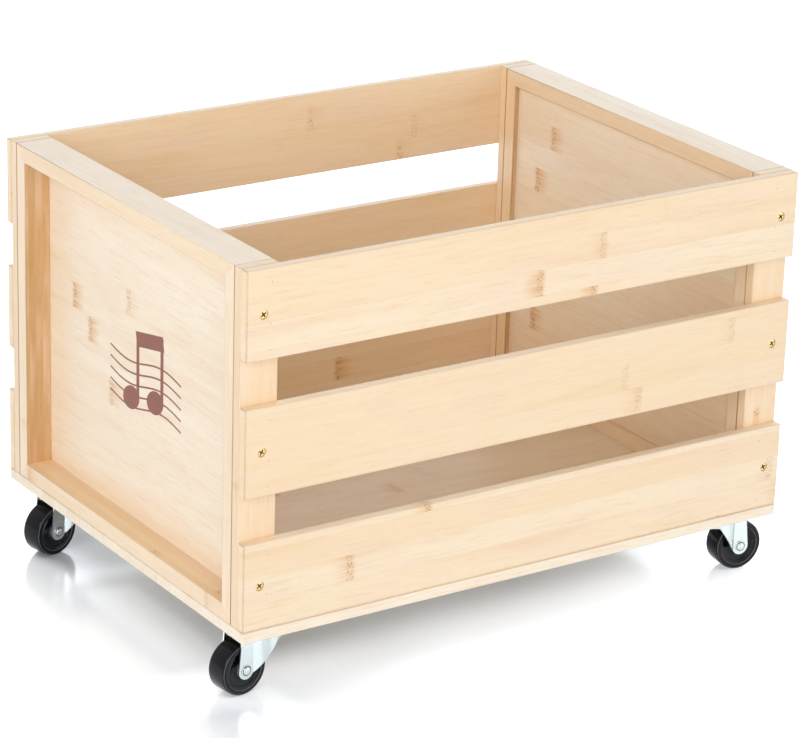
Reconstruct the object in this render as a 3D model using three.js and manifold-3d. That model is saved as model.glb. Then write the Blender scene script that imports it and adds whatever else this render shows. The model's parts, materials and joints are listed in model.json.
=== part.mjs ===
// Rolling record storage stand: an open slatted bamboo crate on four swivel casters.
// Millimetres, +Z up. The origin is on the floor under the middle of the crate,
// +X runs along the slats and -Y is the front.
import * as THREE from 'three';
import { mergeVertices } from 'three/addons/utils/BufferGeometryUtils.js';
import Module from 'manifold-3d';

const wasm = await Module();
wasm.setup();

// ---------------------------------------------------------------- sizes

// Crate body
const CRATE_LENGTH = 458; // outside, along the slats
const CRATE_DEPTH = 338; // outside, front slats to back slats
const BASE_THICKNESS = 8.5;
const SLAT_COUNT = 3; // on each long side
const SLAT_HEIGHT = 63.5;
const SLAT_GAP = 33;
const SLAT_THICKNESS = 7.5;
const SLAT_ARRIS = 1; // eased long edges of the slats
const BATTEN_THICKNESS = 8.5; // upright strips that the slats are screwed to
const FRAME_WIDTH = 29; // end frame boards and battens, along X
const FRAME_THICKNESS = 12; // end frame boards, across the grain
const PANEL_THICKNESS = 5;
const PANEL_RECESS = 20; // outer face of the end panel, behind the frame's face
const GROOVE_DEPTH = 4; // in the frame boards, for the panel's edges
const BOARD_CLEARANCE = 0.3; // panel to groove

// Slat screws, countersunk through slat and batten into the frame post
const SCREW_INSET = 13.3; // from the end of the slat
const SCREW_HEAD_RADIUS = 3.5;
const SCREW_HEAD_SUNK = 0.8; // head below the slat's face
const SCREW_HEAD_HEIGHT = 2.2;
const SCREW_SHANK_RADIUS = 1.75;
const SCREW_LENGTH = 21;
const SCREW_CLEARANCE = 0.3;

// Swivel casters
const CASTER_HEIGHT = 49; // floor to the underside of the base board
const CASTER_INSET_X = 32.6; // swivel axis from the end of the crate
const CASTER_INSET_Y = 31.6; // swivel axis from the front or back
const CASTER_TRAIL = 19.5; // wheel axle behind the swivel axis
const PLATE_SIZE = 38;
const PLATE_CORNER = 4;
const PLATE_THICKNESS = 2;
const PLATE_HOLE_SPACING = 28;
const PLATE_HOLE_RADIUS = 2.2;
const RACE_BOSS_HEIGHT = 1.2; // pressed ring under the plate
const RACE_INNER_RADIUS = 8.5;
const RACE_OUTER_RADIUS = 13.5;
const RACE_HEIGHT = 1.8;
const KING_PIN_RADIUS = 3;
const KING_PIN_HEAD_RADIUS = 5.5;
const KING_PIN_HEAD_FLAT = 3.8; // flat middle of the riveted head
const KING_PIN_HEAD_HEIGHT = 1.7;
const KING_PIN_FLANGE_RADIUS = 4.5;
const KING_PIN_FLANGE_HEIGHT = 0.9;
const FORK_SHEET = 1.2;
const FORK_CROWN_RADIUS = 17;
const FORK_SKIRT_DEPTH = 4; // crown's rim below its top
const FORK_NOSE = 3.3; // where the slanted edge meets the rim, ahead of the swivel axis
const FORK_END_RADIUS = 6.5; // rounded foot of each leg
const FORK_LEG_LEAN = 2.6; // trailing edge of the leg, drawn in at the top
const AXLE_RADIUS = 2.5;
const AXLE_HEAD_RADIUS = 3.8;
const AXLE_HEAD_FLAT = 2.3; // flat middle of the riveted head
const AXLE_HEAD_HEIGHT = 1.2;
const WHEEL_TOP_CLEARANCE = 4.2; // tread to the fork's crown
const WHEEL_WIDTH = 17;
const WHEEL_SHOULDER = 2; // rounding between tread and side
const WHEEL_RIM = 4; // tread band seen from the side
const WHEEL_STEP = 0.7; // how far the ledge lies inside the rim
const WHEEL_LEDGE = 2.2; // width of that ledge
const WHEEL_DISH = 2; // how far the web lies inside the rim
const WHEEL_DRAFT = 0.8; // slope at each step of the side
const WHEEL_HUB_RADIUS = 6.5;
const RUNNING_CLEARANCE = 0.3;
const WHEEL_SIDE_CLEARANCE = 0.4; // wheel to fork leg
const CUT_OVERSHOOT = 1; // cutting tools reach this far past the face they cut

// Heading of each trailing wheel, in degrees about the swivel axis
const CASTERS = [
  { name: 'front_left', end: -1, side: -1, heading: 189 },
  { name: 'back_left', end: -1, side: 1, heading: 194 },
  { name: 'front_right', end: 1, side: -1, heading: -7 },
  { name: 'back_right', end: 1, side: 1, heading: 12 },
];

// Curve quality
const WHEEL_SEGMENTS = 30;
const ROUND_SEGMENTS = 24; // crowns and races
const SCREW_SEGMENTS = 12; // screws, pins and small holes
const ARRIS_SEGMENTS = 2;
const SHOULDER_SEGMENTS = 3;
const FOOT_SEGMENTS = 8;

// Heights and half sizes that follow from the sizes above
const CRATE_END = CRATE_LENGTH / 2;
const CRATE_SIDE = CRATE_DEPTH / 2;
const BASE_TOP = CASTER_HEIGHT + BASE_THICKNESS;
const WALL_HEIGHT = SLAT_COUNT * SLAT_HEIGHT + (SLAT_COUNT - 1) * SLAT_GAP;
const CRATE_TOP = BASE_TOP + WALL_HEIGHT;
const SLAT_INSIDE = CRATE_SIDE - SLAT_THICKNESS;
const FRAME_SIDE = SLAT_INSIDE - BATTEN_THICKNESS;

// ---------------------------------------------------------------- materials

function finish(color, roughness, metalness) {
  return new THREE.MeshStandardMaterial({ color, roughness, metalness });
}

const BAMBOO = finish(0xf2dcb6, 0.5, 0);
const BAMBOO_PANEL = finish(0xf0d3a6, 0.5, 0);
const SCREW_METAL = finish(0xb59a5c, 0.35, 1);
const ZINC = finish(0xc3cacd, 0.3, 1);
const WHEEL_PLASTIC = finish(0x161618, 0.25, 0);

// ---------------------------------------------------------------- solids

function solidOf(geometry) {
  const bare = geometry.clone();
  bare.deleteAttribute('normal');
  bare.deleteAttribute('uv');
  const merged = mergeVertices(bare, 1e-4);
  const mesh = new wasm.Mesh({
    numProp: 3,
    vertProperties: new Float32Array(merged.attributes.position.array),
    triVerts: new Uint32Array(merged.index.array),
  });
  return new wasm.Manifold(mesh);
}

function geometryOf(solid) {
  const mesh = solid.getMesh();
  const geometry = new THREE.BufferGeometry();
  geometry.setAttribute('position', new THREE.BufferAttribute(mesh.vertProperties, 3));
  geometry.setIndex(new THREE.BufferAttribute(mesh.triVerts, 1));
  geometry.computeVertexNormals();
  return geometry;
}

function cut(geometry, tools) {
  let solid = solidOf(geometry);
  for (const tool of tools) solid = solid.subtract(solidOf(tool));
  return geometryOf(solid);
}

function join(geometries) {
  let solid = solidOf(geometries[0]);
  for (const geometry of geometries.slice(1)) solid = solid.add(solidOf(geometry));
  return geometryOf(solid);
}

function block(low, high) {
  const size = high.map((value, i) => value - low[i]);
  const middle = high.map((value, i) => (value + low[i]) / 2);
  return new THREE.BoxGeometry(...size).translate(...middle);
}

// An outline drawn in Y and Z, swept along X.
function sweptAlongX(shape, start, length) {
  const geometry = new THREE.ExtrudeGeometry(shape, { depth: length, bevelEnabled: false });
  const yzx = new THREE.Matrix4().makeBasis(
    new THREE.Vector3(0, 1, 0),
    new THREE.Vector3(0, 0, 1),
    new THREE.Vector3(1, 0, 0),
  );
  return geometry.applyMatrix4(yzx).translate(start, 0, 0);
}

// An outline drawn in X and Z, swept along +Y.
function sweptAlongY(shape, start, length, segments) {
  const options = { depth: length, bevelEnabled: false, curveSegments: segments };
  const geometry = new THREE.ExtrudeGeometry(shape, options);
  return geometry.rotateX(Math.PI / 2).translate(0, start + length, 0);
}

function sweptUp(shape, start, length, segments = ROUND_SEGMENTS) {
  const options = { depth: length, bevelEnabled: false, curveSegments: segments };
  return new THREE.ExtrudeGeometry(shape, options).translate(0, 0, start);
}

// A turned piece: [radius, place along the axis] pairs, turned about Z.
function turned(profile, segments = ROUND_SEGMENTS) {
  const points = profile.map(([radius, along]) => new THREE.Vector2(radius, along));
  return new THREE.LatheGeometry(points, segments).rotateX(Math.PI / 2);
}

// A plain round tool between two places along Z.
function roundTool(radius, low, high) {
  return turned([[0, low], [radius, low], [radius, high], [0, high]], SCREW_SEGMENTS);
}

// ---------------------------------------------------------------- scene graph

const stand = new THREE.Group();

function place(parent, name, geometry, material) {
  const mesh = new THREE.Mesh(geometry, material);
  mesh.name = name;
  parent.add(mesh);
  return mesh;
}

// ---------------------------------------------------------------- crate boards

function roundedRectangle(width, height, radius, segments) {
  const points = [];
  const corners = [
    [width / 2 - radius, height / 2 - radius, 0],
    [radius - width / 2, height / 2 - radius, 1],
    [radius - width / 2, radius - height / 2, 2],
    [width / 2 - radius, radius - height / 2, 3],
  ];
  for (const [x, y, quarter] of corners) {
    for (let i = 0; i <= segments; i += 1) {
      const angle = (quarter + i / segments) * Math.PI / 2;
      const corner = new THREE.Vector2(Math.cos(angle), Math.sin(angle)).multiplyScalar(radius);
      points.push(corner.add(new THREE.Vector2(x, y)));
    }
  }
  return new THREE.Shape(points);
}

function slatBottom(index) {
  return BASE_TOP + index * (SLAT_HEIGHT + SLAT_GAP);
}

function screwX(end) {
  return end * (CRATE_END - SCREW_INSET);
}

// Every slat is screwed on in the middle of its height.
function screwHeight(index) {
  return slatBottom(index) + SLAT_HEIGHT / 2;
}

// A tool or screw profile along -Z from the slat's face is turned to point inwards along Y.
function drivenInto(geometry, end, side, index) {
  geometry.rotateX(-side * Math.PI / 2);
  return geometry.translate(screwX(end), side * CRATE_SIDE, screwHeight(index));
}

function screwHole(end, side, index) {
  const rim = SCREW_HEAD_RADIUS + SCREW_CLEARANCE;
  const bore = SCREW_SHANK_RADIUS + SCREW_CLEARANCE;
  const seat = SCREW_HEAD_SUNK + SCREW_HEAD_HEIGHT + SCREW_CLEARANCE;
  const profile = [
    [0, -SCREW_LENGTH - SCREW_CLEARANCE], [bore, -SCREW_LENGTH - SCREW_CLEARANCE],
    [bore, -seat], [rim, -SCREW_HEAD_SUNK], [rim, CUT_OVERSHOOT], [0, CUT_OVERSHOOT],
  ];
  return drivenInto(turned(profile, SCREW_SEGMENTS), end, side, index);
}

function makeBase() {
  const low = [-CRATE_END, -CRATE_SIDE, CASTER_HEIGHT];
  place(stand, 'base_board', block(low, [CRATE_END, CRATE_SIDE, BASE_TOP]), BAMBOO);
}

const LEVELS = ['bottom', 'middle', 'top'];

function levelName(index) {
  return SLAT_COUNT === LEVELS.length ? LEVELS[index] : `level_${index + 1}`;
}

function makeSlat(sideName, side, index) {
  const shape = roundedRectangle(SLAT_THICKNESS, SLAT_HEIGHT, SLAT_ARRIS, ARRIS_SEGMENTS);
  const board = sweptAlongX(shape, -CRATE_END, CRATE_LENGTH);
  const y = side * (CRATE_SIDE - SLAT_THICKNESS / 2);
  board.translate(0, y, slatBottom(index) + SLAT_HEIGHT / 2);
  const holes = [-1, 1].map((end) => screwHole(end, side, index));
  place(stand, `${sideName}_${levelName(index)}_slat`, cut(board, holes), BAMBOO);
}

function makeSlatScrew(sideName, side, endName, end, index) {
  const profile = [
    [0, -SCREW_LENGTH], [SCREW_SHANK_RADIUS / 3, -SCREW_LENGTH],
    [SCREW_SHANK_RADIUS, -SCREW_LENGTH + 2 * SCREW_SHANK_RADIUS],
    [SCREW_SHANK_RADIUS, -SCREW_HEAD_SUNK - SCREW_HEAD_HEIGHT],
    [SCREW_HEAD_RADIUS, -SCREW_HEAD_SUNK - SCREW_CLEARANCE],
    [SCREW_HEAD_RADIUS, -SCREW_HEAD_SUNK], [0, -SCREW_HEAD_SUNK],
  ];
  const screw = drivenInto(turned(profile, SCREW_SEGMENTS), end, side, index);
  place(stand, `${sideName}_${levelName(index)}_slat_screw_${endName}`, screw, SCREW_METAL);
}

// The battens and the end frame share one width, and both stop flush with the slats' ends.
function endSpan(end) {
  const faces = [end * CRATE_END, end * (CRATE_END - FRAME_WIDTH)];
  return [Math.min(...faces), Math.max(...faces)];
}

function makeBatten(name, end, side) {
  const [x0, x1] = endSpan(end);
  const faces = [side * SLAT_INSIDE, side * FRAME_SIDE];
  const strip = block([x0, Math.min(...faces), BASE_TOP], [x1, Math.max(...faces), CRATE_TOP]);
  const holes = [];
  for (let index = 0; index < SLAT_COUNT; index += 1) holes.push(screwHole(end, side, index));
  place(stand, name, cut(strip, holes), BAMBOO);
}

// ---------------------------------------------------------------- end frames

// The span in X of the panel, grown by the clearance for its groove.
function panelSpan(end, clearance) {
  const outer = end * (CRATE_END - PANEL_RECESS + clearance);
  const inner = end * (CRATE_END - PANEL_RECESS - PANEL_THICKNESS - clearance);
  return [Math.min(outer, inner), Math.max(outer, inner)];
}

// The panel's outline, or with no clearance the bottom of the groove around it.
function panelTool(end, edgeClearance, faceClearance) {
  const reach = GROOVE_DEPTH - FRAME_THICKNESS - edgeClearance;
  const [x0, x1] = panelSpan(end, faceClearance);
  return block(
    [x0, -FRAME_SIDE - reach, BASE_TOP - reach],
    [x1, FRAME_SIDE + reach, CRATE_TOP + reach],
  );
}

// Four boards mitred at 45 degrees: each is a strip with both ends cut to the frame's corners.
function mitredBoards() {
  const outside = [
    [-FRAME_SIDE, BASE_TOP], [FRAME_SIDE, BASE_TOP],
    [FRAME_SIDE, CRATE_TOP], [-FRAME_SIDE, CRATE_TOP],
  ];
  const inside = outside.map(([y, z]) => [
    y - Math.sign(y) * FRAME_THICKNESS,
    z === BASE_TOP ? z + FRAME_THICKNESS : z - FRAME_THICKNESS,
  ]);
  return ['bottom_rail', 'back_post', 'top_rail', 'front_post'].map((name, i) => {
    const next = (i + 1) % outside.length;
    const corners = [outside[i], outside[next], inside[next], inside[i]];
    const shape = new THREE.Shape(corners.map(([y, z]) => new THREE.Vector2(y, z)));
    return { name, shape };
  });
}

function makeEndFrame(endName, end) {
  const [x0] = endSpan(end);
  for (const { name, shape } of mitredBoards()) {
    const tools = [panelTool(end, 0, BOARD_CLEARANCE)];
    if (name.endsWith('post')) {
      const side = name === 'front_post' ? -1 : 1;
      for (let index = 0; index < SLAT_COUNT; index += 1) tools.push(screwHole(end, side, index));
    }
    const board = cut(sweptAlongX(shape, x0, FRAME_WIDTH), tools);
    place(stand, `${endName}_end_${name}`, board, BAMBOO);
  }
  place(stand, `${endName}_end_panel`, panelTool(end, BOARD_CLEARANCE, 0), BAMBOO_PANEL);
}

// ---------------------------------------------------------------- casters

// Heights below the base board's underside, in a caster's own frame: the swivel axis is Z
// and the wheel trails along +X.
const PLATE_BOTTOM = -PLATE_THICKNESS;
const BOSS_BOTTOM = PLATE_BOTTOM - RACE_BOSS_HEIGHT;
const RACE_TOP = BOSS_BOTTOM - RUNNING_CLEARANCE;
const RACE_BOTTOM = RACE_TOP - RACE_HEIGHT;
const CROWN_TOP = RACE_BOTTOM - RUNNING_CLEARANCE;
const CROWN_BOTTOM = CROWN_TOP - FORK_SHEET;
const SKIRT_BOTTOM = CROWN_TOP - FORK_SKIRT_DEPTH;
const WHEEL_RADIUS = (CASTER_HEIGHT + CROWN_BOTTOM - WHEEL_TOP_CLEARANCE) / 2;
const AXLE_HEIGHT = WHEEL_RADIUS - CASTER_HEIGHT;
const LEG_INSIDE = WHEEL_WIDTH / 2 + WHEEL_SIDE_CLEARANCE;
const LEG_OUTSIDE = LEG_INSIDE + FORK_SHEET;

function circleHole(x, y, radius) {
  const hole = new THREE.Path();
  hole.absarc(x, y, radius, 0, 2 * Math.PI, true);
  return hole;
}

function makePlate(parent, name) {
  const outline = roundedRectangle(PLATE_SIZE, PLATE_SIZE, PLATE_CORNER, SHOULDER_SEGMENTS);
  const shaft = KING_PIN_RADIUS + RUNNING_CLEARANCE;
  outline.holes.push(circleHole(0, 0, shaft));
  for (const x of [-1, 1]) {
    for (const y of [-1, 1]) {
      const at = PLATE_HOLE_SPACING / 2;
      outline.holes.push(circleHole(x * at, y * at, PLATE_HOLE_RADIUS));
    }
  }
  const sheet = sweptUp(outline, PLATE_BOTTOM, PLATE_THICKNESS, SCREW_SEGMENTS);
  const plateMiddle = PLATE_BOTTOM + PLATE_THICKNESS / 2;
  const boss = turned([
    [RACE_INNER_RADIUS, BOSS_BOTTOM], [RACE_OUTER_RADIUS - RACE_BOSS_HEIGHT, BOSS_BOTTOM],
    [RACE_OUTER_RADIUS, PLATE_BOTTOM], [RACE_OUTER_RADIUS, plateMiddle],
    [RACE_INNER_RADIUS, plateMiddle], [RACE_INNER_RADIUS, BOSS_BOTTOM],
  ]);
  const sinkRadius = KING_PIN_FLANGE_RADIUS + RUNNING_CLEARANCE;
  const sinkDepth = KING_PIN_FLANGE_HEIGHT + 2 * RUNNING_CLEARANCE;
  const sink = roundTool(sinkRadius, -sinkDepth, CUT_OVERSHOOT);
  place(parent, `${name}_caster_plate`, cut(join([sheet, boss]), [sink]), ZINC);
}

function makeKingPin(parent, name) {
  const top = -RUNNING_CLEARANCE;
  const headTop = CROWN_BOTTOM - RUNNING_CLEARANCE;
  const headBottom = headTop - KING_PIN_HEAD_HEIGHT;
  const flange = top - KING_PIN_FLANGE_HEIGHT;
  const pin = turned([
    [0, headBottom], [KING_PIN_HEAD_FLAT, headBottom],
    [KING_PIN_HEAD_RADIUS, headTop - KING_PIN_HEAD_HEIGHT / 3], [KING_PIN_HEAD_RADIUS, headTop],
    [KING_PIN_RADIUS, headTop], [KING_PIN_RADIUS, flange],
    [KING_PIN_FLANGE_RADIUS, flange], [KING_PIN_FLANGE_RADIUS, top], [0, top],
  ], SCREW_SEGMENTS);
  place(parent, `${name}_caster_king_pin`, pin, ZINC);
}

function makeBallRace(parent, name) {
  const middle = (RACE_TOP + RACE_BOTTOM) / 2;
  const ease = RACE_HEIGHT / 3;
  const ring = turned([
    [RACE_INNER_RADIUS, RACE_BOTTOM], [RACE_OUTER_RADIUS - ease, RACE_BOTTOM],
    [RACE_OUTER_RADIUS, middle], [RACE_OUTER_RADIUS - ease, RACE_TOP],
    [RACE_INNER_RADIUS, RACE_TOP], [RACE_INNER_RADIUS, RACE_BOTTOM],
  ]);
  place(parent, `${name}_caster_ball_race`, ring, ZINC);
}

// The fork seen from above: a round crown that runs out into two straight legs.
function forkPlan(inset) {
  const radius = FORK_CROWN_RADIUS - inset;
  const leg = LEG_OUTSIDE - inset;
  const start = Math.asin(leg / radius);
  const end = CASTER_TRAIL + FORK_END_RADIUS + inset;
  const plan = new THREE.Shape();
  plan.moveTo(end, leg);
  plan.lineTo(radius * Math.cos(start), leg);
  plan.absarc(0, 0, radius, start, 2 * Math.PI - start, false);
  plan.lineTo(end, -leg);
  plan.closePath();
  return plan;
}

// The fork seen from the side: the crown's rim, the slanted leading edge, the rounded foot
// about the axle and the trailing edge, which leans in towards the top.
function forkSide() {
  const foot = new THREE.Vector2(CASTER_TRAIL, AXLE_HEIGHT);
  const front = new THREE.Vector2(-FORK_NOSE, SKIRT_BOTTOM);
  const back = new THREE.Vector2(CASTER_TRAIL + FORK_END_RADIUS - FORK_LEG_LEAN, CROWN_TOP);
  const above = CROWN_TOP + CUT_OVERSHOOT;
  const ahead = -FORK_CROWN_RADIUS - CUT_OVERSHOOT;
  const angleTo = (point, turn) => {
    const reach = point.clone().sub(foot);
    return reach.angle() + turn * Math.acos(FORK_END_RADIUS / reach.length());
  };
  const arcStart = angleTo(front, 1);
  const arcEnd = angleTo(back, -1) + 2 * Math.PI;
  const side = new THREE.Shape();
  side.moveTo(back.x, above);
  side.lineTo(ahead, above);
  side.lineTo(ahead, SKIRT_BOTTOM);
  side.lineTo(front.x, front.y);
  side.absarc(foot.x, foot.y, FORK_END_RADIUS, arcStart, arcEnd, false);
  side.lineTo(back.x, back.y);
  side.closePath();
  return side;
}

function makeFork(parent, name) {
  const bottom = AXLE_HEIGHT - FORK_END_RADIUS - CUT_OVERSHOOT;
  const innerBottom = bottom - CUT_OVERSHOOT;
  const half = FORK_CROWN_RADIUS + CUT_OVERSHOOT;
  const outer = solidOf(sweptUp(forkPlan(0), bottom, CROWN_TOP - bottom));
  const inner = solidOf(sweptUp(forkPlan(FORK_SHEET), innerBottom, CROWN_BOTTOM - innerBottom));
  const side = solidOf(sweptAlongY(forkSide(), -half, 2 * half, FOOT_SEGMENTS));
  const pinBore = KING_PIN_RADIUS + RUNNING_CLEARANCE;
  const pinHole = roundTool(pinBore, CROWN_BOTTOM - CUT_OVERSHOOT, CROWN_TOP + CUT_OVERSHOOT);
  const axleHole = roundTool(AXLE_RADIUS + RUNNING_CLEARANCE, -half, half);
  axleHole.rotateX(Math.PI / 2).translate(CASTER_TRAIL, 0, AXLE_HEIGHT);
  const shell = outer.subtract(inner).intersect(side);
  const fork = shell.subtract(solidOf(pinHole)).subtract(solidOf(axleHole));
  place(parent, `${name}_caster_fork`, geometryOf(fork), ZINC);
}

function makeAxle(parent, name) {
  const inner = LEG_OUTSIDE + RUNNING_CLEARANCE;
  const outer = inner + AXLE_HEAD_HEIGHT;
  const edge = inner + AXLE_HEAD_HEIGHT / 3;
  const axle = turned([
    [0, -outer], [AXLE_HEAD_FLAT, -outer], [AXLE_HEAD_RADIUS, -edge], [AXLE_HEAD_RADIUS, -inner],
    [AXLE_RADIUS, -inner], [AXLE_RADIUS, inner],
    [AXLE_HEAD_RADIUS, inner], [AXLE_HEAD_RADIUS, edge], [AXLE_HEAD_FLAT, outer], [0, outer],
  ], SCREW_SEGMENTS);
  axle.rotateX(Math.PI / 2).translate(CASTER_TRAIL, 0, AXLE_HEIGHT);
  place(parent, `${name}_caster_axle`, axle, ZINC);
}

function wheelProfile() {
  const half = WHEEL_WIDTH / 2;
  const bore = AXLE_RADIUS + RUNNING_CLEARANCE;
  const web = half - WHEEL_DISH;
  const ledge = half - WHEEL_STEP;
  const rim = WHEEL_RADIUS - WHEEL_RIM;
  const ledgeEnd = rim - WHEEL_LEDGE;
  const points = [
    [bore, -half], [WHEEL_HUB_RADIUS, -half], [WHEEL_HUB_RADIUS + WHEEL_DRAFT, -web],
    [ledgeEnd - WHEEL_DRAFT, -web], [ledgeEnd, -ledge], [rim - WHEEL_DRAFT, -ledge], [rim, -half],
  ];
  for (let i = 0; i <= SHOULDER_SEGMENTS; i += 1) {
    const angle = (i / SHOULDER_SEGMENTS - 1) * Math.PI / 2;
    const radius = WHEEL_RADIUS - WHEEL_SHOULDER + WHEEL_SHOULDER * Math.cos(angle);
    points.push([radius, -half + WHEEL_SHOULDER + WHEEL_SHOULDER * Math.sin(angle)]);
  }
  const mirrored = points.map(([radius, along]) => [radius, -along]).reverse();
  return [...points, ...mirrored, points[0]];
}

function makeWheel(parent, name) {
  const wheel = turned(wheelProfile(), WHEEL_SEGMENTS);
  wheel.rotateX(Math.PI / 2).translate(CASTER_TRAIL, 0, AXLE_HEIGHT);
  place(parent, `${name}_caster_wheel`, wheel, WHEEL_PLASTIC);
}

function makeCaster({ name, end, side, heading }) {
  const mount = new THREE.Group();
  const x = end * (CRATE_END - CASTER_INSET_X);
  const y = side * (CRATE_SIDE - CASTER_INSET_Y);
  mount.position.set(x, y, CASTER_HEIGHT);
  stand.add(mount);
  makePlate(mount, name);
  makeKingPin(mount, name);
  makeBallRace(mount, name);
  const swivel = new THREE.Group();
  swivel.rotation.z = THREE.MathUtils.degToRad(heading);
  mount.add(swivel);
  makeFork(swivel, name);
  makeAxle(swivel, name);
  makeWheel(swivel, name);
}

// ---------------------------------------------------------------- assembly

const ENDS = [['left', -1], ['right', 1]];
const SIDES = [['front', -1], ['back', 1]];

makeBase();
for (const [sideName, side] of SIDES) {
  for (let index = 0; index < SLAT_COUNT; index += 1) {
    makeSlat(sideName, side, index);
    for (const [endName, end] of ENDS) makeSlatScrew(sideName, side, endName, end, index);
  }
  for (const [endName, end] of ENDS) makeBatten(`${sideName}_${endName}_batten`, end, side);
}
for (const [endName, end] of ENDS) makeEndFrame(endName, end);
for (const caster of CASTERS) makeCaster(caster);

export default stand;
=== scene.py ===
import json
import math
import random

import bmesh
import bpy
from bpy.props import FloatProperty, FloatVectorProperty, IntProperty, PointerProperty
from bpy.types import Operator, Panel, PropertyGroup
from mathutils import Matrix, Vector

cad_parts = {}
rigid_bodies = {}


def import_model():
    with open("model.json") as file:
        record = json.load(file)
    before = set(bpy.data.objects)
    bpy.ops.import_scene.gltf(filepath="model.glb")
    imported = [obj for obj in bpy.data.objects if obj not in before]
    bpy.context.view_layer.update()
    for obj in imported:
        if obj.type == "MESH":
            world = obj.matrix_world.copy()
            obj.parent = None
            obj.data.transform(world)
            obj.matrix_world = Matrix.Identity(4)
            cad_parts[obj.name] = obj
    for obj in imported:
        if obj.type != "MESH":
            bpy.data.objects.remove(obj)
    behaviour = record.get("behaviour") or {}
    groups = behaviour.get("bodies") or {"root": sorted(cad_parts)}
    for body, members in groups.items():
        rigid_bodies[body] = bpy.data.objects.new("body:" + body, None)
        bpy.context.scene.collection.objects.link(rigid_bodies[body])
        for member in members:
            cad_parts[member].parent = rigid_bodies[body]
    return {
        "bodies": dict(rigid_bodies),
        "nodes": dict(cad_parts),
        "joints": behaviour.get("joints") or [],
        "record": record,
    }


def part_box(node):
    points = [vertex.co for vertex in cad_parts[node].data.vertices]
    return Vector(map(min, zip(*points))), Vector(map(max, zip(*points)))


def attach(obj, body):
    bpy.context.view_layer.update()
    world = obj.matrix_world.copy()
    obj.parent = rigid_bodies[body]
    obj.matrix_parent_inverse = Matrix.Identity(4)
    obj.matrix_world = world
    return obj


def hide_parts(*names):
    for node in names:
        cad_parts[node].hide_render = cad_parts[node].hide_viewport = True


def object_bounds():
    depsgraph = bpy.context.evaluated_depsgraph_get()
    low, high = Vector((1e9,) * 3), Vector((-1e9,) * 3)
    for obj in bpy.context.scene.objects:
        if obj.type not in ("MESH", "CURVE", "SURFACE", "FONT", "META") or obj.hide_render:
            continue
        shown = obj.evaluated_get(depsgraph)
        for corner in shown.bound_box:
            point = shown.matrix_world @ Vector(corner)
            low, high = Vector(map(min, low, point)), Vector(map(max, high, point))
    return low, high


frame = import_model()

bl_info = {
    "name": "Record storage stand",
    "version": (1, 0, 0),
    "blender": (4, 5, 0),
    "location": "View3D > Sidebar > Record stand",
    "description": "Dresses a slatted bamboo crate on swivel casters, piece by piece",
    "category": "Object",
}

MM = 0.001
CAD_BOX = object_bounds()
ENDS = (("left", -1), ("right", 1))
SIDES = (("front", -1), ("back", 1))
LEVELS = ("bottom", "middle", "top")
CASTERS = ("front_left", "back_left", "front_right", "back_right")
CRATE = "crate"
GROOVE_CLEAR = 0.3 * MM  # end panel to the groove that holds it
BORE_CLEAR = 0.3 * MM  # slat screw's head to its hole

BASE_LOW, BASE_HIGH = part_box("base_board")
SLAT_LOW, SLAT_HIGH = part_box("front_bottom_slat")
SLAT_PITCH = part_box("front_middle_slat")[0].z - SLAT_LOW.z
SCREW_LOW, SCREW_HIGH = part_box("front_bottom_slat_screw_left")
JOINTS = {joint["name"]: joint for joint in frame["joints"]}


def shown(red, green, blue):
    """The linear colour of a shade that is given as it looks on a screen, 0 to 255."""
    channels = (value / 255 for value in (red, green, blue))
    return tuple(
        c / 12.92 if c <= 0.04045 else ((c + 0.055) / 1.055) ** 2.4 for c in channels
    )


# ---------------------------------------------------------------- settings


def colour(name, description, default):
    return FloatVectorProperty(
        name=name, description=description, default=default, subtype="COLOR", min=0, max=1
    )


def length(name, description, default):
    return FloatProperty(
        name=name, description=description, default=default, unit="LENGTH", min=0, precision=5
    )


def share(name, description, default):
    return FloatProperty(
        name=name, description=description, default=default, subtype="FACTOR", min=0, max=1
    )


def level(name, description, default, unit="NONE"):
    return FloatProperty(name=name, description=description, default=default, unit=unit, min=0)


def power(name, description, default):
    return level(name, description, default, "POWER")


class BambooSettings(PropertyGroup):
    """Sizes and colours of the bamboo boards."""

    pale: colour("Pale bamboo", "Shade of the palest strips", shown(250, 228, 196))
    warm: colour("Warm bamboo", "Shade of the warmest strips", shown(246, 214, 171))
    deep: colour("Deep bamboo", "Shade of the darker fibres", shown(234, 197, 150))
    blush: colour("Blush", "Shade of the faint rosy clouds", shown(246, 216, 190))
    stain: colour("Knuckle stain", "Shade along the fibres at a knuckle", shown(228, 178, 120))
    knuckle: colour("Knuckle", "Shade of the dots across a knuckle", shown(184, 124, 76))
    sheet: colour("Panel bamboo", "Palest strips of the panels and base", shown(252, 237, 214))
    sheet_warm: colour("Warm panel bamboo", "Warmest strips there", shown(248, 227, 197))
    # The post and rail shades are painted shade on the recessed faces inside the end frames: darker
    # on the posts, lighter on the rails.
    painted_post_shade: colour("Honey bamboo", "Posts inside the end frames", shown(212, 168, 113))
    painted_post_shade_deep: colour("Deep honey", "Darker fibres of those posts", shown(190, 142, 86))
    painted_rail_shade: colour("Golden bamboo", "Rails inside the end frames", shown(248, 218, 176))
    golden_deep: colour("Deep golden", "Darker fibres of those rails", shown(232, 190, 140))
    # edge_tone darkens the rounded edges: painted shade along the seams, a faint stain elsewhere.
    edge_tone: colour("Edge", "Shade of the rubbed edges", shown(170, 122, 66))
    strip: length("Strip width", "Width of a strip that is glued flat", 19 * MM)
    thin_strip: length("Thin strip", "Width of a strip that is glued on edge", 5.6 * MM)
    knuckle_pitch: length("Knuckle pitch", "Distance between knuckles on a strip", 0.27)
    edge: length("Edge rounding", "Rounding of the boards' edges", 0.8 * MM)
    roughness: share("Roughness", "Roughness of the satin lacquer", 0.42)
    seed: IntProperty(name="Grain seed", description="Picks each board's own grain", default=7)


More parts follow.
